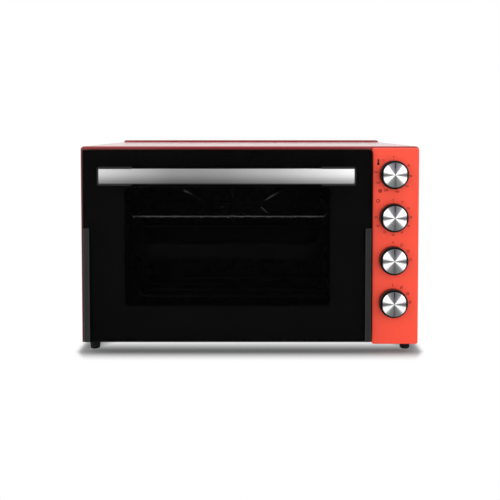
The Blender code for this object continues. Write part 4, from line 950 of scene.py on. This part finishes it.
def screw_head(bm, place, out, turn):
    """Adds a domed cross-recessed screw head whose underside is centred on a place."""
    place, out = Vector(place), Vector(out)
    side = out.orthogonal().normalized()
    other = out.cross(side)
    c, s = math.cos(turn), math.sin(turn)
    rings = []
    for share in SCREW_SHARES:
        points = []
        for u, v in circle(0.0, 0.0, SCREW_RADIUS * share, sides=SCREW_SIDES):
            height = SCREW_HEIGHT * (1 - DOME_SHARE * share * share)
            in_slot = min(abs(u), abs(v)) < SCREW_RADIUS * SLOT_WIDTH_SHARE
            if in_slot and share < SLOT_LENGTH_SHARE:
                height -= SCREW_HEIGHT * SLOT_DEPTH_SHARE * (1 - share)
            points.append(place + side * (u * c - v * s) + other * (u * s + v * c) + out * height)
        if not share:
            points = points[:1]
        rings.append([bm.verts.new(point) for point in points])
    wall = out * SCREW_HEIGHT * SCREW_WALL_SHARE
    rings.append([bm.verts.new(vertex.co - wall) for vertex in rings[-1]])
    for i in range(SCREW_SIDES):
        bm.faces.new((rings[0][0], rings[1][i], rings[1][(i + 1) % SCREW_SIDES]))
    for near, far in zip(rings[1:], rings[2:]):
        bridge(bm, near, far)
    bm.faces.new(rings[-1])


def screws(name, places, out, material, body):
    """Makes one piece of equal screw heads, each turned its own way."""
    bm = bmesh.new()
    for i, place in enumerate(places):
        screw_head(bm, place, out, SCREW_TURN * i)
    piece(name, bm, material, body, smooth=True)


def make_camera():
    data = bpy.data.cameras.new("camera")
    data.sensor_width = SENSOR_WIDTH
    data.lens = FOCAL_PIXELS / IMAGE_SIZE * data.sensor_width
    data.shift_x, data.shift_y = CAMERA_SHIFT
    camera = bpy.data.objects.new("camera", data)
    camera.location = CAMERA_PLACE
    camera.rotation_euler = (math.pi / 2 - CAMERA_PITCH, 0.0, 0.0)
    bpy.context.scene.collection.objects.link(camera)
    bpy.context.scene.camera = camera


def seen_directly(tree):
    """1 where a camera, glossy or transmission ray looks, and 0 where light is gathered."""
    path = tree.nodes.new("ShaderNodeLightPath")
    total = path.outputs["Is Camera Ray"]
    for name in ("Is Glossy Ray", "Is Transmission Ray"):
        add = tree.nodes.new("ShaderNodeMath")
        add.operation = "MAXIMUM"
        tree.links.new(total, add.inputs[0])
        tree.links.new(path.outputs[name], add.inputs[1])
        total = add.outputs[0]
    return total


def make_world():
    """A white studio: one level to look at, and one that lights the object."""
    world = bpy.data.worlds.new("studio")
    bpy.context.scene.world = world
    world.use_nodes = True
    tree = world.node_tree
    background = tree.nodes["Background"]
    background.inputs["Color"].default_value = (1.0, 1.0, 1.0, 1.0)
    level = tree.nodes.new("ShaderNodeMapRange")
    tree.links.new(seen_directly(tree), level.inputs["Value"])
    level.inputs["To Min"].default_value = WORLD_LEVEL
    level.inputs["To Max"].default_value = WHITE_LEVEL
    tree.links.new(level.outputs[0], background.inputs["Strength"])


def make_floor():
    """A large pale floor that turns plain white away from the object and deep under it, and keeps
    its shadow near it over a darker grey painted there as shadow.
    """
    bm = bmesh.new()
    bmesh.ops.create_grid(bm, x_segments=FLOOR_CELLS, y_segments=FLOOR_CELLS, size=FLOOR_HALF)
    mesh = bpy.data.meshes.new("floor")
    bm.to_mesh(mesh)
    bm.free()
    floor = bpy.data.objects.new("floor", mesh)
    bpy.context.scene.collection.objects.link(floor)
    finish = Finish("floor")
    low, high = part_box("outer_cover")
    middle, half = (low + high) / 2, (high - low) / 2
    off = finish.vector("SUBTRACT", finish.coords, (middle.x, middle.y, 0.0))
    off = finish.vector("SUBTRACT", finish.vector("ABSOLUTE", off), (half.x, half.y, 0.0))
    past = finish.math("MAXIMUM", finish.part("Y", off), 0.0)
    slant = finish.math("MULTIPLY", past, SHADOW_SLANT_SHARE)
    sideways = finish.math("MAXIMUM", finish.math("ADD", finish.part("X", off), slant), 0.0)
    outside = finish.vector("DIVIDE", finish.point(sideways, past), SHADOW_REACH)
    beyond = finish.eased(finish.vector("LENGTH", outside), 0.0, 1.0)
    # The floor's colour is a painted shadow grey near the cover, and its own grey further out
    finish.set(
        Base_Color=finish.spread(beyond, PAINTED_SHADOW_GREY, FLOOR_GREY, start=0.0, end=1.0),
        Roughness=0.8,
        Specular_IOR_Level=0.0,
        Normal=finish.bump(finish.noise(40.0), SPECKLE_DEPTH, strength=0.1),
    )
    # Deep under the cover the floor is plain white, which paints out the shade there
    nearest = finish.math("MAXIMUM", finish.part("X", off), finish.part("Y", off))
    below = finish.eased(nearest, 0.0, -SHADOW_DEPTH)
    plain = finish.math("MAXIMUM", beyond, below)
    tree = finish.tree
    white = tree.nodes.new("ShaderNodeEmission")
    white.inputs["Strength"].default_value = WHITE_LEVEL
    mix = tree.nodes.new("ShaderNodeMixShader")
    tree.links.new(finish.math("MULTIPLY", plain, seen_directly(tree)), mix.inputs[0])
    tree.links.new(finish.shader.outputs[0], mix.inputs[1])
    tree.links.new(white.outputs[0], mix.inputs[2])
    tree.links.new(mix.outputs[0], tree.nodes["Material Output"].inputs["Surface"])
    mesh.materials.append(finish.material)


def make_lamp(name, place, size, power):
    """A large soft lamp that looks at the object's middle."""
    data = bpy.data.lights.new(name, "AREA")
    data.shape = "RECTANGLE"
    data.size, data.size_y = size
    data.energy = power
    lamp = bpy.data.objects.new(name, data)
    lamp.location = place
    aim = (CAD_LOW + CAD_HIGH) / 2 - Vector(place)
    lamp.rotation_euler = aim.to_track_quat("-Z", "Y").to_euler()
    bpy.context.scene.collection.objects.link(lamp)


def make_stage():
    bpy.context.scene.view_settings.view_transform = "Standard"
    make_camera()
    make_world()
    make_floor()
    for name, (place, size, power) in LAMPS.items():
        make_lamp(name, place, size, power)


def dress_body():
    paint = gloss_paint(
        "cover_paint", COVER_RED, roughness=0.16, level=0.30, coat=0.25, edged="outer_cover"
    )
    panel = gloss_paint("panel_paint", PANEL_RED, roughness=0.40, level=0.30, coat=0.0)
    black = enamel("frame_enamel", ENAMEL_BLACK, roughness=0.32, speck=1.8)
    zinc = galvanised("zinc_sheet", ZINC)
    switch = moulding("switch_plastic", PLASTIC_BLACK, roughness=0.55)
    rubber = moulding("foot_rubber", RUBBER_BLACK, roughness=0.75, level=0.15, grain=1400.0)
    dress(paint, "outer_cover", "rear_panel")
    dress(panel, "control_panel")
    dress(black, "front_frame", "door_inner_frame")
    dress(zinc, "base_plate", "partition_wall", "thermostat", "timer")
    dress(switch, "function_switch", "fan_switch", "terminal_block")
    dress_pair(rubber, "foot_front", "foot_rear")
    dress(rubber, "cord_gland")


def dress_cavity(cavity, chrome):
    sheath = brushed("element_sheath", SHEATH, roughness=0.45)
    dress(cavity, "liner_wrap", "fan_cover")
    dress_pair(cavity, "liner_side")
    dress(enamel("tray_enamel", TRAY_GREY, roughness=0.30, speck=2.0), "baking_tray")
    dress(chrome, "wire_rack")
    dress(sheath, "upper_heating_element", "lower_heating_element")
    dress(brushed("fan_steel", FAN_DARK, roughness=0.42), "fan_blade", "fan_shaft")
    dress(laminated("motor_stack", COPPER), "fan_motor")


def dress_door(steel):
    for side in ("left", "right"):
        node = "door_side_profile_" + side
        dress(strip_plastic("trim_" + side, node), node)
    bracket = moulding("bracket_plastic", PLASTIC_BLACK, roughness=0.45)
    dress_pair(bracket, "handle_bracket")
    dress(handle_metal("handle_bar", "door_handle"), "door_handle")
    dress(pane("tinted_glass", GLASS_TINT, alpha=0.38, level=0.020), "door_glass")
    clear = pane("clear_glass", GLASS_CLEAR, alpha=0.06, level=0.030)
    dress(clear, "door_inner_glass")
    dress_pair(steel, "hinge_bracket", "hinge_pin", "hinge_spring")


def dress_controls(steel):
    plastic = moulding("knob_plastic", PLASTIC_BLACK, roughness=0.30)
    for name in CONTROLS:
        cap = name + "_knob_cap"
        dress(plastic, name + "_knob")
        dress(steel, name + "_shaft")
        dress(spun_face(name + "_face", cap), cap)


def make_door_print():
    """The black border fired onto the back of the door's glass."""
    low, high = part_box("door_glass")
    outer = rounded(
        low.x + BORDER_EDGE, high.x - BORDER_EDGE, low.z + BORDER_EDGE, high.z - BORDER_EDGE,
        BORDER_CORNER,
    )
    inner_low, inner_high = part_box("door_inner_glass")
    window = rounded(
        inner_low.x + BORDER_LAP, inner_high.x - BORDER_LAP,
        inner_low.z + BORDER_LAP, inner_high.z - BORDER_LAP,
        WINDOW_CORNER,
    )
    bm = bmesh.new()
    framed_sheet(bm, outer, window, high.y + BORDER_NEAR, high.y + BORDER_FAR)
    ink = moulding("border_print", BORDER_BLACK, roughness=0.45, level=0.1, grain=600.0)
    piece("door_border_print", bm, ink, "door")


def make_dials():
    """The prints on the panel: a scale or signs round each knob."""
    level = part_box("control_panel")[0].y - PRINT_LIFT
    ink = moulding("dial_ink", PRINT_RED, roughness=0.5, level=0.1)
    for name in CONTROLS:
        centre = knob_centre(name)
        bm = bmesh.new()
        if name == "thermostat":
            print_thermostat(bm, centre, level)
        elif name == "timer":
            print_timer(bm, centre, level)
        else:
            print_switch(bm, centre, level, fan=(name == "fan_select"))
        piece(name + "_dial_print", bm, ink, "housing")


def make_pointers():
    """The dark line laid into the groove of each knob's face."""
    ink = moulding("pointer_ink", PLASTIC_BLACK, roughness=0.5)
    for name in CONTROLS:
        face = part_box(name + "_knob_cap")[0].y
        u, v = knob_centre(name)
        left, right = u - POINTER_HALF, u + POINTER_HALF
        low, high = v + POINTER_LOW, v + POINTER_HIGH
        bm = bmesh.new()
        outline = rounded(left, right, low, high, POINTER_CORNER, steps=3)
        slab(bm, outline, face + POINTER_FRONT, face + POINTER_BACK)
        piece(name + "_pointer", bm, ink, name + "_control")


def make_gasket():
    """The woven seal round the cavity's mouth."""
    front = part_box("front_frame")[0].y
    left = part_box("liner_side_left")[0].x - GASKET_OFFSET
    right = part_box("liner_side_right")[1].x + GASKET_OFFSET
    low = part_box("liner_wrap")[0].z - GASKET_OFFSET
    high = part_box("liner_wrap")[1].z + GASKET_OFFSET
    path = rounded(left, right, low, high, GASKET_CORNER, steps=12)
    section = circle(0.0, 0.0, GASKET_RADIUS, sides=GASKET_SIDES)
    bm = bmesh.new()
    rope(bm, path, front - GASKET_RADIUS * GASKET_STAND_SHARE, section)
    weave = woven("gasket_weave", GASKET_GREY)
    piece("mouth_gasket", bm, weave, "housing", smooth=True)


def make_pressings(cavity):
    """The two raised air guides in the back wall, beside the fan's guard, and their rims."""
    low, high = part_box("fan_cover")
    wall = high.y
    middle = (low + high) / 2
    section = [(side * MM, ahead * MM) for side, ahead in RIM_SECTION]
    forms, rims = bmesh.new(), bmesh.new()
    for sign in (-1, 1):
        u, v = middle.x + sign * PRESSING_OFFSET, middle.z
        rings = []
        for share, rise_share in PRESSING_SHARES:
            half = [size * share for size in PRESSING_SIZE]
            rings.append(ring(forms, lozenge(u, v, half), wall - PRESSING_RISE * rise_share))
        skin(forms, rings)
        rope(rims, lozenge(u, v, PRESSING_SIZE), wall, section)
    rim = pressed_rim("pressed_rim")
    piece("back_wall_pressings", forms, cavity, "housing", smooth=True)
    piece("back_wall_rims", rims, rim, "housing", smooth=True)


def make_rack_hooks():
    """The rack wires' front ends, bent down over the front rod."""
    low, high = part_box("wire_rack")
    y, z = low.y + ROD_RADIUS, low.z + ROD_RADIUS
    pitch = (high.x - low.x - 2 * RACK_END) / (RACK_WIRES - 1)
    front = Vector((0.0, -1.0, 0.0))
    bm = bmesh.new()
    for i in range(RACK_WIRES):
        x = low.x + RACK_END + pitch * i
        stations = []
        for degrees in HOOK_DEGREES:
            angle = math.radians(degrees)
            out = Vector((0.0, math.cos(angle), math.sin(angle)))
            stations.append((Vector((x, y, z)) + out * HOOK_REACH, out, 1.0))
        for share, girth in HOOK_TIP_SHARES:
            stations.append((Vector((x, y - HOOK_REACH, z - HOOK_DROP * share)), front, girth))
        rings = []
        for centre, out, girth in stations:
            section = circle(0.0, 0.0, HOOK_RADIUS * girth, sides=HOOK_SIDES)
            places = [centre + out * ahead + Vector((side, 0.0, 0.0)) for side, ahead in section]
            rings.append([bm.verts.new(place) for place in places])
        skin(bm, rings)
    metal = hook_metal("hook_metal", z)
    piece("rack_wire_hooks", bm, metal, "housing", smooth=True)


def make_screws():
    steel = brushed("screw_steel", SCREW_BRIGHT, roughness=0.30)
    dark = brushed("dark_screw", SCREW_DARK, roughness=0.35)

    low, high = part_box("rear_panel")
    face = high.y - REAR_STEP
    columns = (low.x + SCREW_INSET, high.x - SCREW_INSET)
    rows = (low.z + SCREW_EDGE, (low.z + high.z) / 2, high.z - SCREW_EDGE)
    places = [(x, face, z) for x in columns for z in rows]
    columns = (-REAR_SCREW_OFFSET, REAR_SCREW_OFFSET)
    rows = (low.z + SCREW_INSET, high.z - SCREW_EDGE)
    places += [(x, face, z) for x in columns for z in rows]
    screws("rear_screws", places, (0, 1, 0), steel, "housing")

    low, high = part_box("fan_cover")
    columns = (low.x + SCREW_INSET, high.x - SCREW_INSET)
    rows = (low.z + SCREW_INSET, high.z - SCREW_INSET)
    places = [(x, low.y, z) for x in columns for z in rows]
    screws("fan_cover_screws", places, (0, -1, 0), dark, "housing")

    low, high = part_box("base_plate")
    columns = (low.x + SCREW_EDGE, 0.0, high.x - SCREW_EDGE)
    rows = (low.y + SCREW_EDGE, high.y - SCREW_EDGE)
    places = [(x, y, low.z) for x in columns for y in rows]
    screws("base_screws", places, (0, 0, -1), steel, "housing")

    low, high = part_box("door_inner_frame")
    columns = (low.x + SCREW_EDGE, (low.x + high.x) / 2, high.x - SCREW_EDGE)
    rows = (low.z + SCREW_EDGE, high.z - SCREW_EDGE)
    places = [(x, high.y, z) for x in columns for z in rows]
    screws("door_frame_screws", places, (0, 1, 0), dark, "door")


make_stage()
bright_steel = brushed("bright_steel", ZINC, roughness=0.30)
speckled = enamel("cavity_enamel", CAVITY_BLACK, roughness=0.28, speck=3.0)
chromed = wire_metal("chromed_wire", "wire_rack")
dress_body()
dress_cavity(speckled, chromed)
dress_door(bright_steel)
dress_controls(bright_steel)
make_door_print()
make_dials()
make_pointers()
make_gasket()
make_pressings(speckled)
make_rack_hooks()
make_screws()
